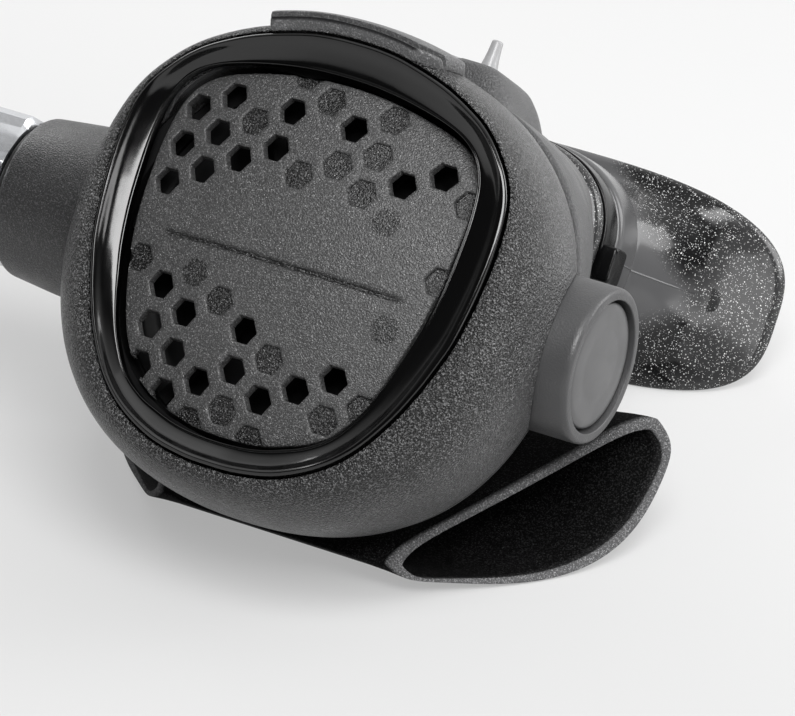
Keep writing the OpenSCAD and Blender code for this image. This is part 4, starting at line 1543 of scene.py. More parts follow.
    def build(self) -> None:
        """Builds plate and plunger, and shades pockets, rough cells and groove."""
        skin = self.plate()
        corners = [(1.4, 0.0, 0), (1.4, self.plunger_r, 0)]
        corners += [(self.plunger_end, self.plunger_r, 0.4), (self.plunger_end, 0.0, 0)]
        obj = skin.turn(Axis.PURGE, corners, 64).build("cover_plate", 34)
        x, y, z = BODY.read(obj)
        xz = np.stack([x, z], axis=-1)
        deep = y - self.dome(xz) < 1.2
        shade = self.groove(xz, 0.5, 0.1)
        levels = {Cell.SHALLOW: deep, Cell.NOTCH: deep, Cell.ROUGH: 0.85}
        for kind, level in levels.items():
            for cell in self.cells[kind]:
                mask = smooth_step(self.hex_depth(xz, cell, kind), 0.02, 0.1)
                shade = np.maximum(shade, level * mask)
        paint(obj, "shade", shade)
        Role.COVER.take(obj)


# ---- case --------------------------------------------------------------------


@dataclass
class MouthFrame:
    """The mouthpiece's own frame, tilted against the body at the neck's end.

    Its n is the exponent of the neck's outlines.
    """

    y: float = 60.0
    z: float = 20.6
    tilt: float = 3.0
    n: float = 2.4

    def place(self, points: Points) -> Points:
        """Turns points about X by the tilt and moves them to the neck's end.

        Args:
            points: Points of the mouthpiece's frame.

        Returns:
            The same points in the body's frame.
        """
        x, y, z = np.moveaxis(points, -1, 0)
        c, s = math.cos(math.radians(self.tilt)), math.sin(math.radians(self.tilt))
        return np.stack([x, self.y + y * c - z * s, self.z + y * s + z * c], axis=-1)


@dataclass
class RearCase:
    """The grey case behind the ring, with its lever housing and its neck.

    The seat and each bore have their axis, start, end, radius and points round.
    """

    shape: RingShape
    mouth: MouthFrame
    wall: float = 2.0
    neck_wall: float = 2.4
    start_y: float = 25.5
    length: float = 34.5
    top: Pair = (33.2, 33.8)
    neck_a: float = 16.2
    neck_b: float = 13.2
    neck_low: float = 7.4
    tee_y: float = 26.0
    tee_z: float = -33.4
    rise: float = 52.5
    housing_z: float = 36.6
    pocket_r: float = 7.3
    pocket_z: float = 34.9
    skirt_y: Pair = (4.4, 25.4)
    shelf_y: Pair = (10.9, 26.4)
    cover_room: Pair = (0.0, 8.6)
    seat: Bore = (Axis.EXHAUST, -0.5, 4.5, 11.4, 96)
    bores: tuple[Bore, ...] = (
        (Axis.VALVE, -36, -29.3, 13.1, 128),
        (Axis.VALVE, -36, 36, 6.3, 96),
        (Axis.VALVE, 26.9, 36, 11.0, 128),
        (Axis.LEVER, 0, 38, 1.65, 48),
        (Axis.EXHAUST, -15, 15, 9.5, 96),
    )

    def case_ring(self, u: float, inset: float) -> Points:
        """A ring of the case.

        Formula: the half width falls from the ring's to the neck's by
        (1 - u^1.4)^1.25. The top is a straight line, and the underside follows
        the tee's upper side until it meets the neck's line, where the smaller
        of the two is rounded by a hyperbola.

        Args:
            u: Share of the case's length.
            inset: How much smaller the ring is made.

        Returns:
            The ring's points.
        """
        y = self.start_y + self.length * u
        wide = self.shape.bulge_a - self.shape.rear_in[0] - self.neck_a
        half = self.neck_a + wide * (1 - u**1.4) ** 1.25
        top = self.top[0] + (self.top[1] - self.top[0]) * u
        slope = math.tan(math.radians(self.rise))
        chord = self.tee_z + (y - self.tee_y) * slope + 1.8 + 1.2 * u
        gap = math.sqrt((self.neck_low - chord) ** 2 + 0.8**2)
        low = 0.5 * (self.neck_low + chord - gap)
        return oval(y, half - inset, (top - low) / 2 - inset, (top + low) / 2, 2.3)

    def rings(self) -> Points:
        """Round wall, case, neck and spigot outside, and back again inside.

        Returns:
            Rings by points by 3.
        """
        r, inner = self.shape.skirt_r, self.shape.skirt_r - self.wall
        tight = inner - self.neck_wall
        shares = [float(u) for u in 1 - (1 - np.linspace(0, 1, 30)) ** 1.15]
        (front, _), (shelf, rear) = self.skirt_y, self.shelf_y
        outside = [oval(y, r, r) for y in self.skirt_y]
        outside += [self.case_ring(u, 0) for u in shares[:-1]]
        neck = [
            self.mouth.place(oval(y, self.neck_a - d, self.neck_b - d, 0, self.mouth.n))
            for y, d in ((0.0, 0), (0.0, 2.4), (7.5, 2.4), (7.5, 4.4), (0.0, 4.4))
        ]
        inside = [self.case_ring(u, self.neck_wall) for u in shares[-2:0:-4]]
        steps = ((rear, tight), (shelf, tight), (shelf, inner), (front, inner))
        inside += [oval(y, bore, bore) for y, bore in steps]
        radii = {2: 0.5, len(outside): 0.4, len(outside) + 2: 0.3}
        return soften(np.stack(outside + neck + inside), radii, closed=True, steps=3)

    def housing(self) -> Piece:
        """The raised block that holds the lever's disc.

        Formula: rings of a squared outline, exponent 7, shrink from the block's
        foot to its top while their middle moves forward.

        Returns:
            The block, to be joined to the case.
        """
        levels = [
            (z, half, (y1 - y0) / 2, 0, (y0 + y1) / 2)
            for z, half, y0, y1 in (
                (24.0, 15.0, 25.5, 43.5),
                (27.6, 15.0, 25.5, 43.5),
                (33.6, 12.0, 25.5, 42.2),
                (36.0, 9.9, 25.5, 41.2),
                (self.housing_z, 8.6, 26.4, 40.2),
            )
        ]
        stack = soften(flat_rings(levels, 7, upright=False), [0, 0.8, 2.0, 0.9, 0.5])
        return Skin().grid(stack, capped=True).build("tool")

    def build(self) -> None:
        """Builds the case, joins its housing and seat, cuts its holes and paints shade into its
        inside.
        """
        obj = Skin().grid(self.rings(), looped=True).build("case_moulded")
        combine(obj, [self.housing(), rod(*self.seat)], "UNION")
        low, over, r = self.pocket_z, self.housing_z + 2, self.pocket_r
        pocket = [(low, 0, 0), (low, r, 0.2), (over, r, 0), (over, 0, 0)]
        prism = np.stack([self.shape.cover_ring(y, 0.8) for y in self.cover_room])
        cuts = [rod(*bore) for bore in self.bores]
        cuts.append(Skin().turn(Axis.LEVER, pocket).build("tool"))
        cuts.append(Skin().grid(prism, capped=True).build("tool"))
        combine(obj, cuts, "DIFFERENCE")
        x, y, z = BODY.read(obj)
        skirt = self.shape.skirt_r
        inner = 1 - smooth_step(np.hypot(x, z), skirt - 1, skirt)
        # Painted shade: the inside within the round wall turns near black.
        paint(obj, "inside", inner * (y < 26.5))
        Role.CASE.take(obj)


# ---- sleeve, inlet, side cap and lever ---------------------------------------


@dataclass
class BarrelSleeve:
    """The satin sleeve on the left, the seal at its end and the chrome inlet."""

    start: float = -29.4
    slope_at: float = -32.0
    bend_at: float = -41.0
    end: float = -49.9
    radii: Triple = (13.0, 12.4, 11.4)
    bore: float = 6.3
    flat_half: float = 10.2
    air_r: float = 3.0
    spigot: Pair = (-38.0, 4.7)
    pitch: float = 1.25
    crest: float = 7.1
    root: float = 6.5
    thread_end: float = -70.9
    seal_at: Pair = (-30.5, -19.5)
    seal_r: float = 4.35
    seal_half: float = 0.35

    def sleeve(self) -> None:
        """The sleeve: a turned profile whose radius falls towards its end."""
        wide, middle, narrow = self.radii
        corners = [
            (self.start, self.bore, 0.0), (self.start, wide, 0.3),
            (self.slope_at, wide, 1.5), (self.bend_at, middle, 3.0),
            (self.end, narrow, 1.1), (self.end, self.bore, 0.3),
            (self.start, self.bore, 0.0),
        ]  # fmt: skip
        skin = Skin().turn(Axis.VALVE, corners, 160, steps=6)
        Role.SLEEVE.take(skin.build("sleeve_turned"))

    def inlet(self) -> None:
        """The chrome inlet: chamfered hexagon, thread, spigot and bore.

        Formula: the radius at angle t is the flat's distance over the cosine of
        the angle to the nearest flat's middle, held below a turned profile's
        radius, which chamfers the corners at both ends by a cone.
        """
        t = circle(240)
        to_flat = np.abs((t + np.pi / 6) % (np.pi / 3) - np.pi / 6)
        at, spigot_r = self.spigot
        profile = np.array([
            (at, self.air_r), (at, spigot_r), (-50.9, spigot_r),
            (-50.9, 9.4), (-51.2, 10.3), (-51.9, 11.3),
            (-59.9, 11.3), (-60.6, 10.3), (-60.9, 9.4),
            *self._thread(),
            (self.thread_end, self.air_r), (at, self.air_r),
        ])  # fmt: skip
        flat_r = self.flat_half / np.cos(to_flat)
        radii = np.minimum(flat_r, profile[:, 1, None])
        rings = Axis.VALVE.rings(profile[:, 0], radii, len(t))
        Role.INLET.take(Skin().grid(rings).build("inlet_hex", 25))

    def _thread(self) -> Points:
        """The thread's profile: a relief, then crests and roots a pitch apart.

        Returns:
            Rows of place and radius.
        """
        h = -61.0 - np.arange(0, 31) * self.pitch / 4
        r = np.where(np.arange(31) % 4 < 2, self.crest, self.root)
        table = np.stack([h, r], axis=-1)[h > -70.3]
        ends = [[-70.5, 6.9], [self.thread_end, 6.4]]
        return np.concatenate([[[-60.95, self.root]], table, ends])

    def seals(self) -> None:
        """Round seals in the orifice's grooves, and the one under the inlet."""
        skin = Skin()
        half, angle = self.seal_half, circle(24)
        for middle in self.seal_at:
            heights = middle + half * np.cos(angle)
            radii = self.seal_r + half * np.sin(angle)
            skin.grid(Axis.VALVE.rings(heights, radii, 64), looped=True)
        near, far, inner, outer = -49.95, -50.85, 4.8, 10.1
        corners = [(near, inner, 0.0), (near, outer, half), (far, outer, half)]
        corners += [(far, inner, 0.0), (near, inner, 0.0)]
        Role.SEALS.take(skin.turn(Axis.VALVE, corners).build("seal_rings"))

    def build(self) -> None:
        """Builds sleeve, inlet and seals."""
        self.sleeve()
        self.inlet()
        self.seals()


@dataclass
class SideCap:
    """The round boss on the right with the disc set into it."""

    inner: float = 27.0
    end: float = 39.7
    radius: float = 10.9
    disc_r: float = 8.8
    groove: float = 0.5
    deep: float = 2.4

    def build(self) -> None:
        """Builds the boss and its disc, whose face domes by 0.45 (r / R)^2."""
        end, r, recess = self.end, self.disc_r, self.disc_r + self.groove
        corners = [
            (self.inner, 0.0, 0.0), (self.inner, self.radius, 0.3),
            (end, self.radius, 1.1), (end, recess, 0.22),
            (end - self.deep, recess, 0.2), (end - self.deep, 0.0, 0.0),
        ]  # fmt: skip
        boss = Skin().turn(Axis.VALVE, corners, 160, steps=7)
        Role.CAP.take(boss.build("cap_boss"))
        corners = [
            (end - 2.3, 0.0, 0.0), (end - 2.3, r, 0.2), (end - 0.7, r, 0.35),
            (end - 0.45, r * 0.9, 0.3), (end - 0.35, r * 0.7, 0.0),
        ]  # fmt: skip
        shares = np.linspace(1, 0, 14)
        for share in shares[shares < 0.66]:
            corners.append((end - 0.25 - 0.45 * share**2, r * share, 0.0))
        disc = Skin().turn(Axis.VALVE, corners, 160, steps=5)
        Role.DISC.take(disc.build("cap_disc"))


@dataclass
class VenturiLever:
    """The turning disc in the housing's top, with its pin, shaft and vane."""

    top: float = 36.6
    disc_r: float = 7.0
    shaft_r: float = 1.6
    vane: Triple = (3.4, 0.6, 32.5)
    vane_z: Pair = (8.0, 17.0)

    def build(self) -> None:
        """Builds disc, shaft, pin and vane."""
        top, r, shaft = self.top, self.disc_r, self.shaft_r
        disc = [
            (10.0, 0.0, 0.0), (10.0, shaft, 0.2), (top - 1.4, shaft, 0.0),
            (top - 1.4, r, 0.2), (top, r, 0.35), (top, r - 1, 0.2),
            (top - 0.25, r - 1.4, 0.3), (top - 0.25, 0.0, 0.0),
        ]  # fmt: skip
        pin = [
            (top - 0.6, 0.0, 0.0), (top - 0.6, 1.5, 0.0), (top + 0.1, 1.35, 0.5),
            (top + 2.4, 0.95, 1.0), (top + 4.6, 0.8, 0.35), (top + 4.6, 0.0, 0.0),
        ]  # fmt: skip
        skin = Skin().turn(Axis.LEVER, disc).turn(Axis.LEVER_PIN, pin, 48)
        half_x, half_y, mid_y = self.vane
        signs = ((-1, -1), (1, -1), (1, 1), (-1, 1))
        vane = [
            [(half_x * i, half_y * j + mid_y, z) for i, j in signs] for z in self.vane_z
        ]
        skin.grid(np.array(vane), capped=True)
        Role.LEVER.take(skin.build("lever_turning"))


# ---- exhaust tee -------------------------------------------------------------


@dataclass
class ExhaustTee:
    """The wide, open-ended tee under the case."""

    y: float = 26.0
    z: float = -33.4
    rise: float = 52.5
    chord: float = 39.8
    depth: float = 10.5
    half: float = 16.8
    flare: float = 1.0
    wall: float = 0.95
    blunt_cut: float = 1.4
    lip_rise: float = 2.4
    lip_round: float = 0.35
    port_r: float = 11.7
    count: int = 240

    def section(self, inset: float, reach: float, blunt: float) -> Points:
        """The tee's cross section in the YZ plane, made smaller by inset.

        Formula: along the upper side s = c/2 - (c/2 - 1.5 inset) cos t. Below it
        the depth is D |sin t|^1.7, above it a low crown of 0.9 |sin t|^0.6. Near
        the open ends the rear of the upper side turns up by reach, the front end
        draws back, and both turn blunt: the exponent falls by 0.7 cos^4 t and
        the depth grows by 0.9 cos^8 t.

        Args:
            inset: How far the outline moves inwards.
            reach: How far the upper side turns up at its rear end.
            blunt: From 0 to 1, how blunt both ends are.

        Returns:
            Rows of y and z.
        """
        t = np.linspace(2 * np.pi, 0, self.count, endpoint=False)
        sin_t, c, cut = np.sin(t), self.chord, self.blunt_cut * blunt
        s = (c + cut) / 2 - ((c - cut) / 2 - 1.5 * inset) * np.cos(t)
        power = 1.7 - 0.7 * blunt * np.cos(t) ** 4
        below = (self.depth - 2 * inset) * np.abs(sin_t) ** power
        d = inset + np.where(sin_t > 0, -0.9 * np.abs(sin_t) ** 0.6, below)
        d = d + 0.9 * blunt * np.cos(t) ** 8
        upper = np.where(sin_t > 0, 1, 1 - np.abs(sin_t) ** 0.8)
        d = d - reach * np.clip(s / c, 0, 1) ** 2.2 * upper
        rise = math.radians(self.rise)
        cos_r, sin_r = math.cos(rise), math.sin(rise)
        y, z = self.y + s * cos_r + d * sin_r, self.z + s * sin_r - d * cos_r
        return np.stack([y, z], axis=-1)

    def ring(self, u: float, inset: float, grow: float) -> Points:
        """The section at a share of the half width, which grows with depth y.

        Args:
            u: Share of the half width, from -1 to 1.
            inset: How far the outline moves inwards.
            grow: What is added to the half width.

        Returns:
            The ring's points.
        """
        reach = self.lip_rise * float(smooth_step(abs(u), 0.72, 1.0))
        yz = self.section(inset, reach, float(smooth_step(abs(u), 0.75, 1.0)))
        x = u * (self.half + self.flare * (yz[:, 0] - self.y) + grow)
        return np.stack([x, yz[:, 0], yz[:, 1]], axis=-1)

    def build(self) -> None:
        """Builds the shell, cuts the exhaust port, dresses it and paints light onto the rims of
        its open ends.
        """
        shares = np.concatenate([[-1, -0.96], np.linspace(-0.9, 0.9, 19), [0.96, 1]])
        rings = [self.ring(float(u), 0, 0) for u in shares]
        rings += [self.ring(float(u), self.wall, -0.3) for u in shares[::-1]]
        corners = (0, len(shares) - 1, len(shares), -1)
        radii = dict.fromkeys(corners, self.lip_round)
        stack = soften(np.stack(rings), radii, closed=True, steps=5)
        obj = Skin().grid(stack, looped=True).build("tee_moulded", 50)
        combine(obj, [rod(Axis.EXHAUST, -3, 5, self.port_r)], "DIFFERENCE", 50)
        x, y, _ = BODY.read(obj)
        limit = self.half + self.flare * (y - self.y)
        rim = smooth_step(np.abs(x) - limit, -0.7, -0.4)
        # Painted light: the rims of the open ends turn lighter grey.
        paint(obj, "rim", rim)
        # Away from the rims the grain, flecks and painted crest highlights mostly go.
        paint(obj, "still", 0.9 * (1 - rim))
        Role.TEE.take(obj)


# ---- mouthpiece --------------------------------------------------------------


@dataclass
class Mouthpiece:
    """Bead, strap groove, collar, flare, bowed flange and bite tabs."""

    mouth: MouthFrame
    collar_a: float = 17.7
    collar_b: float = 14.2
    flange_a: float = 34.0
    flange_b: float = 15.9
    flange_n: float = 3.2
    flange_y: float = 25.0
    flange_t: float = 2.2
    bow: float = 0.0062
    fold_x: float = 24.0
    fold: float = 0.16
    seam: float = 0.09
    seam_half: float = 0.11
    tab_x: Pair = (14.0, 27.0)
    tab_length: float = 12.0

    def ring(self, y: float, a: float, b: float, bow: float, n: float) -> Points:
        """A ring of the mouthpiece, with the flange's fold where it is bowed.

        Formula: the angles t - 0.4 sin 2t lie five times closer at the two
        sides, where the mould's seam runs. Past fold_x the depth grows by a
        steady slope, eased in over a millimetre, in proportion to the bow:
        (p + sqrt(p^2 + 0.2)) / 2 is nearly 0 before the fold and p after it.

        Args:
            y: Depth of the ring.
            a: Half width.
            b: Half height.
            bow: Bend of its plane.
            n: Exponent of its outline.

        Returns:
            The ring's points.
        """
        t = circle(400)
        points = oval(y, a, b, 0, n, bow, t - 0.4 * np.sin(2 * t))
        past = np.abs(points[:, 0]) - self.fold_x
        slope = self.fold * bow / self.bow
        points[:, 1] += slope * 0.5 * (past + np.sqrt(past**2 + 0.2)) * (past > -6)
        return points

    def rings(self) -> Points:
        """Outside from the neck to the flange's back, then the bore.

        A row holds depth, half width, half height, bow, exponent and rounding.

        Returns:
            Rings by points by 3.
        """
        a, b, fy, ft = self.collar_a, self.collar_b, self.flange_y, self.flange_t
        fa, fb, fn = self.flange_a, self.flange_b, self.flange_n
        bow, n = self.bow, self.mouth.n
        table = [
            (0.1, a - 1.6, b - 1.6, 0, n, 0.2),
            (0.5, a - 0.75, b - 0.95, 0, n, 0.5),
            (1.7, a - 0.3, b - 0.5, 0, n, 1.0),
            (2.9, a - 0.7, b - 0.9, 0, n, 0.5),
            (3.2, a - 1.6, b - 1.6, 0, n, 0.2),
            (8.2, a - 1.6, b - 1.6, 0, n, 0.2),
            (8.5, a - 0.35, b - 0.35, 0, n, 0.3),
            (9.2, a, b, 0, n, 0.6),
            (15.2, a, b, 0, n, 0.6),
            (15.9, a - 0.4, b - 0.4, 0, n, 0.35),
            (16.5, a - 1.0, b - 1.1, 0, n, 0.4),
            (17.3, a - 0.8, b - 1.3, 0, n, 0.6),
            (18.8, a + 0.3, b - 1.6, 0, n, 2.0),
            (fy - 3, a + 3, b - 1.6, 0.001, n, 2.5),
            (fy - 0.9, a + 8.5, b - 1.3, bow * 0.8, 2.8, 2.5),
            (fy, fa - 0.7, fb - 0.7, bow, fn, 0.6),
            (fy + ft / 2, fa, fb, bow, fn, 0.7),
            (fy + ft, fa - 0.7, fb - 0.7, bow, fn, 0.6),
            (fy + ft, 12.0, 8.2, bow, n, 0.8),
            (8.7, 12.0, 8.2, 0, n, 0.0),
            (8.1, 14.1, 11.1, 0, n, 0.0),
            (0.1, 14.1, 11.1, 0, n, 0.0),
        ]
        stack = np.stack([self.ring(*row[:5]) for row in table])
        rings = soften(stack, [row[5] for row in table], closed=True, steps=6)
        return self._with_seam(rings)

    def _with_seam(self, rings: Points) -> Points:
        """Raises a hairline seam along both sides of the outside.

        Formula: a point moves out sideways by h exp(-(z / half)^2), z being its
        height over the seam's plane, only from the collar to the flange's fold.

        Args:
            rings: The mouthpiece's rings.

        Returns:
            The rings with their seam.
        """
        x, y, z = np.moveaxis(rings, -1, 0)
        on = smooth_step(y, 8.3, 8.8) * (1 - smooth_step(np.abs(x), 21.5, 23.0))
        on = on * (np.abs(x) > 16.4)
        lift = self.seam * on * np.exp(-((z / self.seam_half) ** 2))
        return np.stack([x + np.sign(x) * lift, y - 0.8 * lift, z], axis=-1)

    def tab(self, side: int) -> Points:
        """A bite tab: a rounded bar with a ridge across its end.

        Formula: squared rings of exponent 4.5 run back from the flange; their
        half thickness rises to the ridge over the last millimetres.

        Args:
            side: 1 for the right tab, -1 for the left one.

        Returns:
            Rings by points by 3.
        """
        near, far = self.tab_x
        root = self.flange_y + self.flange_t / 2 + self.bow * near * near
        length = self.flange_t / 2 + self.tab_length
        u = np.linspace(0, 1, 26)
        outer = far - 5.0 * smooth_step(u, 0.72, 1.0)
        thick = 2.0 + 1.7 * smooth_step(u, 0.5, 0.68)
        thick = thick * np.sqrt(np.clip((1 - u) / 0.08, 0, 1) * 0.6 + 0.4)
        rings = []
        for share, out, half in zip(u, outer, thick):
            ring = oval(root + length * share, (out - near) / 2, half, 0, 4.5)
            rings.append((ring + ((out + near) / 2, 0, 0)) * (side, 1, 1))
        return np.stack(rings)

    def build(self) -> None:
        """Builds and dresses the mouthpiece: calm over its collar, and painted light as a
        lighter grey on the collar and past the flange's fold.
        """
        skin = Skin().grid(self.mouth.place(self.rings()), looped=True)
        for side in (-1, 1):
            skin.grid(self.mouth.place(self.tab(side)), capped=True)
        obj = skin.build("mouthpiece_moulded", 50)
        x, y, z = BODY.read(obj)
        y, side, height = y - self.mouth.y, np.abs(x), np.abs(z - self.mouth.z)
        reach = 1 - smooth_step(height + 0.9 * (side - 17), 5.0, 9.5)
        neck = np.maximum(1 - smooth_step(y, 16.2, 17.4), reach)
        neck = neck * (0.3 + 0.7 * smooth_step(y, 7.0, 7.6))
        # Partly painted light: the collar and the neck by its sides are calm and painted a
        # lighter grey where light falls on them.
        paint(obj, "collar", neck * (y < self.flange_y + 1))
        # Painted light: the flange past its fold is painted a lighter grey.
        paint(obj, "painted_light_past_fold", smooth_step(side, self.fold_x - 0.2, self.fold_x + 0.2))
        Role.MOUTH.take(obj)


@dataclass
class TieWrap:
    """The strap that clamps the mouthpiece, with its locking head."""

    mouth: MouthFrame
    a: float = 16.2
    b: float = 12.7
    front: float = 3.55
    rear: float = 7.85
    thick: float = 1.1
    head_half: Pair = (2.15, 2.7)
    head_mid: Pair = (5.7, -1.1)
    head_edge: float = 0.3

    def build(self) -> None:
        """Builds the band and its head."""
        table = [(self.front, self.thick), (self.rear, self.thick)]
        table += [(self.rear, 0.0), (self.front, 0.0)]
        n = self.mouth.n
        stack = [oval(y, self.a + up, self.b + up, 0, n) for y, up in table]
        band = soften(np.stack(stack), [0.3, 0.3, 0.1, 0.1], closed=True)
        skin = Skin().grid(self.mouth.place(band), looped=True)
        levels = []
        for out, shrink in ((0.1, 1), (0.5, 0), (3.1, 0), (3.4, 1)):
            halves = (half - self.head_edge * shrink for half in self.head_half)
            levels.append((self.a + out, *halves, *self.head_mid))
        head = soften(flat_rings(levels, 8, upright=True), [0, 0.25, 0.3, 0])
        skin.grid(self.mouth.place(head), capped=True)
        Role.STRAP.take(skin.build("strap_closed"))


# ---- inner parts -------------------------------------------------------------


@dataclass
class InnerParts:
    """Soft inner parts made again, and the finishes of the solids that stay.

    A corner of a profile has its place along the axis, its radius and its
    rounding. A coil has its joint, its axis, its fixed end in mm, and the share
    of its length that is left at the joint's limit.
    """

    membrane: tuple[Triple, ...] = (
        (9.4, 7.5, 0), (9.4, 11.5, 0.4), (10.4, 13.5, 0.6), (10.4, 22.3, 0.6),
        (9.4, 23.8, 0.4), (9.4, 28.2, 0.2), (10.9, 28.2, 0.2), (10.9, 25.3, 0.2),
        (10.1, 24.1, 0.3), (11.1, 22.3, 0.6), (11.1, 13.5, 0.6), (9.9, 11.5, 0.4),
        (9.9, 7.5, 0), (9.4, 7.5, 0),
    )  # fmt: skip
    flap: tuple[Triple, ...] = (
        (-0.5, 0.0, 0.0), (-0.3, 3.0, 0.5), (-0.55, 8.9, 0.15), (0.1, 8.9, 0.15),
        (0.35, 7.6, 0.3), (0.35, 1.2, 0.3), (3.05, 1.2, 0.1), (3.05, 1.9, 0.2),
        (3.95, 1.3, 0.3), (3.95, 0.0, 0.0),
    )  # fmt: skip
    purge_coil: Coil = ("purge_press", (0, 1, 0), (0, 7.57, 0), 0.71)
    poppet_coil: Coil = ("poppet_slide", (1, 0, 0), (16.06, 24, 1), 0.95)
    kept: dict[Look, tuple[str, ...]] = field(
        default_factory=lambda: {
            Look.INNER: ("inner_cover", "exhaust_seat", "poppet"),
            Look.STEEL: ("diaphragm_disc", "demand_lever", "poppet_nut"),
            Look.BRASS: ("valve_barrel", "orifice_tube"),
            Look.RUBBER: ("poppet_seat",),
        }
    )

    def soft(self) -> None:
        """Builds the diaphragm and the exhaust valve, both turned.

        The diaphragm is a sheet with a rolled convolution and a thick rim, the
        valve a thin dished disc on a stem with a locking bulb.
        """
        sheet = Skin().turn(Axis.PURGE, self.membrane).build("diaphragm_sheet")
        Role.MEMBRANE.take(sheet)
        Role.FLAP.take(Skin().turn(Axis.EXHAUST, self.flap).build("exhaust_flap"))

    @staticmethod
    def coil(role: Role, name: str, values: Coil) -> None:
        """A spring, copied from its solid.

        Args:
            role: What it rides on and replaces.
            name: The piece's name.
            values: Its joint, axis, fixed end and the share that is left.
        """
        joint, along, anchor, keep = values
        solid = frame["nodes"][role.value[1]]
        mesh = solid.data.copy()
        mesh.transform(solid.matrix_world)
        tidy_mesh(mesh)
        obj = linked(name, mesh)
        role.take(obj)
        axis, end = BODY.turn(np.array(along)), BODY.place(np.array(anchor))
        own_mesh(obj)

    def build(self) -> None:
        """Builds the soft parts and both springs, and dresses the rest."""
        self.soft()
        self.coil(Role.PURGE_COIL, "purge_coil", self.purge_coil)
        self.coil(Role.POPPET_COIL, "poppet_coil", self.poppet_coil)
        for look, names in self.kept.items():
            for name in names:
                look.dress(frame["nodes"][name])
                LOG.info("%s keeps its solid", name)


# ---- studio ------------------------------------------------------------------


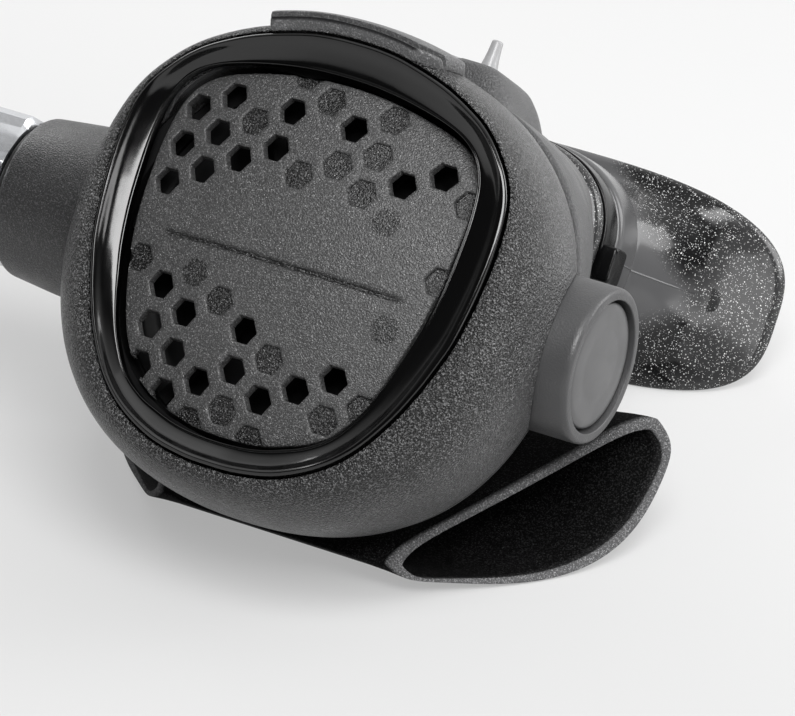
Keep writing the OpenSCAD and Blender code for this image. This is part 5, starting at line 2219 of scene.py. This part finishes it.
@dataclass
class Studio:
    """Camera, floor, surroundings and lamps.

    Each lamp has its place, its width and height, and its power in watts. Both
    rises have their start, their end and their levels there.
    """

    lens: float = 271.7
    sensor: float = 36.0
    clip: Pair = (0.05, 20.0)
    eye: Triple = (344.2, -714.8, -82.2)
    right: Triple = (0.8727, 0.3598, 0.33)
    down: Triple = (0.2657, 0.217, -0.9393)
    floor_half: float = 3.0
    floor_tone: float = 0.33
    floor_rise: tuple[float, ...] = (-0.06, 0.12, 0.38, 0.5)
    even_level: float = 0.2
    backdrop_rise: tuple[float, ...] = (-0.1, 0.55, 0.05, 1.0)
    aim: Triple = (0.0, 0.0, 0.03)
    lamps: dict[str, tuple[Triple, Pair, float]] = field(
        default_factory=lambda: {
            "strip_front": ((0.3, -0.42, 0.74), (0.42, 0.5), 8.0),
            "strip_side": ((0.55, -0.2, 0.25), (0.1, 0.4), 0.6),
            "soft_top": ((0.0, 0.1, 0.8), (0.8, 0.5), 0.5),
            "back_left": ((-0.5, 0.35, 0.35), (0.3, 0.25), 1.0),
            "back_right": ((0.5, 0.4, 0.3), (0.4, 0.4), 3.0),
        }
    )

    def camera(self) -> None:
        """Places the camera by its eye and by where the view's right and down lie."""
        data = bpy.data.cameras.new("camera")
        data.lens, data.sensor_width = self.lens, self.sensor
        data.clip_start, data.clip_end = self.clip
        obj = linked("camera", data)
        right = BODY.turn(np.array(self.right))
        right /= np.linalg.norm(right)
        up = -BODY.turn(np.array(self.down))
        up -= right * (up @ right)
        up /= np.linalg.norm(up)
        turn = Matrix(np.stack([right, up, np.cross(right, up)], axis=1).tolist())
        place = Vector(BODY.place(np.array(self.eye)))
        obj.matrix_world = Matrix.Translation(place) @ turn.to_4x4()
        bpy.context.scene.camera = obj

    def floor(self) -> None:
        """A wide pale floor, lifted where it is seen as background.

        Formula: the lift rises smoothly from its front to its rear value over
        the depth that the object stands on.
        """
        mesh = bpy.data.meshes.new("floor")
        r = self.floor_half
        corners = [(-r, -r, 0), (r, -r, 0), (r, r, 0), (-r, r, 0)]
        mesh.from_pydata(corners, [], [(0, 1, 2, 3)])
        floor = linked("floor", mesh)
        material = bpy.data.materials.new("floor_paper")
        material.use_nodes = True
        nodes = Nodes(material.node_tree)
        shader = nodes.first("BSDF_PRINCIPLED")
        nodes.feed(shader.inputs["Base Color"], grey(self.floor_tone, self.floor_tone))
        nodes.feed(shader.inputs["Roughness"], 0.85)
        nodes.feed(shader.inputs["Specular IOR Level"], 0.1)
        rise = nodes.ramp(nodes.along_y("Object"), *self.floor_rise)
        share = nodes.math("MULTIPLY", self._seen(nodes), rise)
        glow = nodes.add("Emission", {"Strength": share}).outputs["Emission"]
        both = nodes.add("AddShader", {0: shader.outputs["BSDF"], 1: glow})
        surface = nodes.first("OUTPUT_MATERIAL").inputs["Surface"]
        nodes.feed(surface, both.outputs["Shader"])
        mesh.materials.append(material)

    @staticmethod
    def _seen(nodes: Nodes) -> Socket:
        """1 for rays from the camera, a mirror or glass, 0 for diffuse light.

        Args:
            nodes: The tree.

        Returns:
            The output.
        """
        path = nodes.add("LightPath").outputs
        seen = nodes.math("MAXIMUM", path["Is Camera Ray"], path["Is Glossy Ray"])
        return nodes.math("MAXIMUM", seen, path["Is Transmission Ray"])

    def surroundings(self) -> None:
        """A white backdrop behind, a dim room in front, and even soft light.

        Formula: the direction's Y component d rises smoothly from the room's
        level in front to the backdrop's behind; rays from the camera always
        see white, and diffuse light is even.
        """
        world = bpy.data.worlds.new("studio")
        bpy.context.scene.world = world
        world.use_nodes = True
        nodes = Nodes(world.node_tree)
        rise = nodes.ramp(nodes.along_y("Generated"), *self.backdrop_rise)
        path = nodes.add("LightPath").outputs
        mirrored = (path["Is Glossy Ray"], path["Is Transmission Ray"])
        mirror = nodes.math("MAXIMUM", *mirrored)
        change = nodes.math("SUBTRACT", rise, self.even_level)
        level = nodes.math("MULTIPLY_ADD", change, mirror, self.even_level)
        level = nodes.math("MAXIMUM", level, path["Is Camera Ray"])
        back = nodes.first("BACKGROUND")
        nodes.feed(back.inputs["Strength"], level)
        nodes.feed(back.inputs["Color"], (1, 1, 1))

    def lamp(self, name: str, place: Triple, size: Pair, watts: float) -> None:
        """A rectangular soft lamp that faces the object.

        Args:
            name: Its name.
            place: Where it stands, in metres.
            size: Its width and height.
            watts: Its power.
        """
        data = bpy.data.lights.new(name, "AREA")
        data.shape = "RECTANGLE"
        data.size, data.size_y = size
        data.energy = watts
        way = Vector(self.aim) - Vector(place)
        turn = way.to_track_quat("-Z", "Y").to_matrix().to_4x4()
        linked(name, data).matrix_world = Matrix.Translation(Vector(place)) @ turn

    def build(self) -> None:
        """Sets up the whole studio."""
        self.camera()
        self.floor()
        self.surroundings()
        for name, values in self.lamps.items():
            self.lamp(name, *values)


def main() -> None:
    """Builds the studio and every sub-assembly, and logs each piece."""
    logging.basicConfig(level=logging.INFO, format="%(name)s: %(message)s")
    bpy.context.scene.view_settings.view_transform = "Standard"
    Studio().build()
    shape, mouth = RingShape(), MouthFrame()
    for part in (FrontRing, GlossBezel, TopClip, PurgeCover):
        part(shape).build()
    RearCase(shape, mouth).build()
    for part in (BarrelSleeve, SideCap, VenturiLever, ExhaustTee):
        part().build()
    for part in (Mouthpiece, TieWrap):
        part(mouth).build()
    InnerParts().build()


if __name__ == "__main__":
    main()
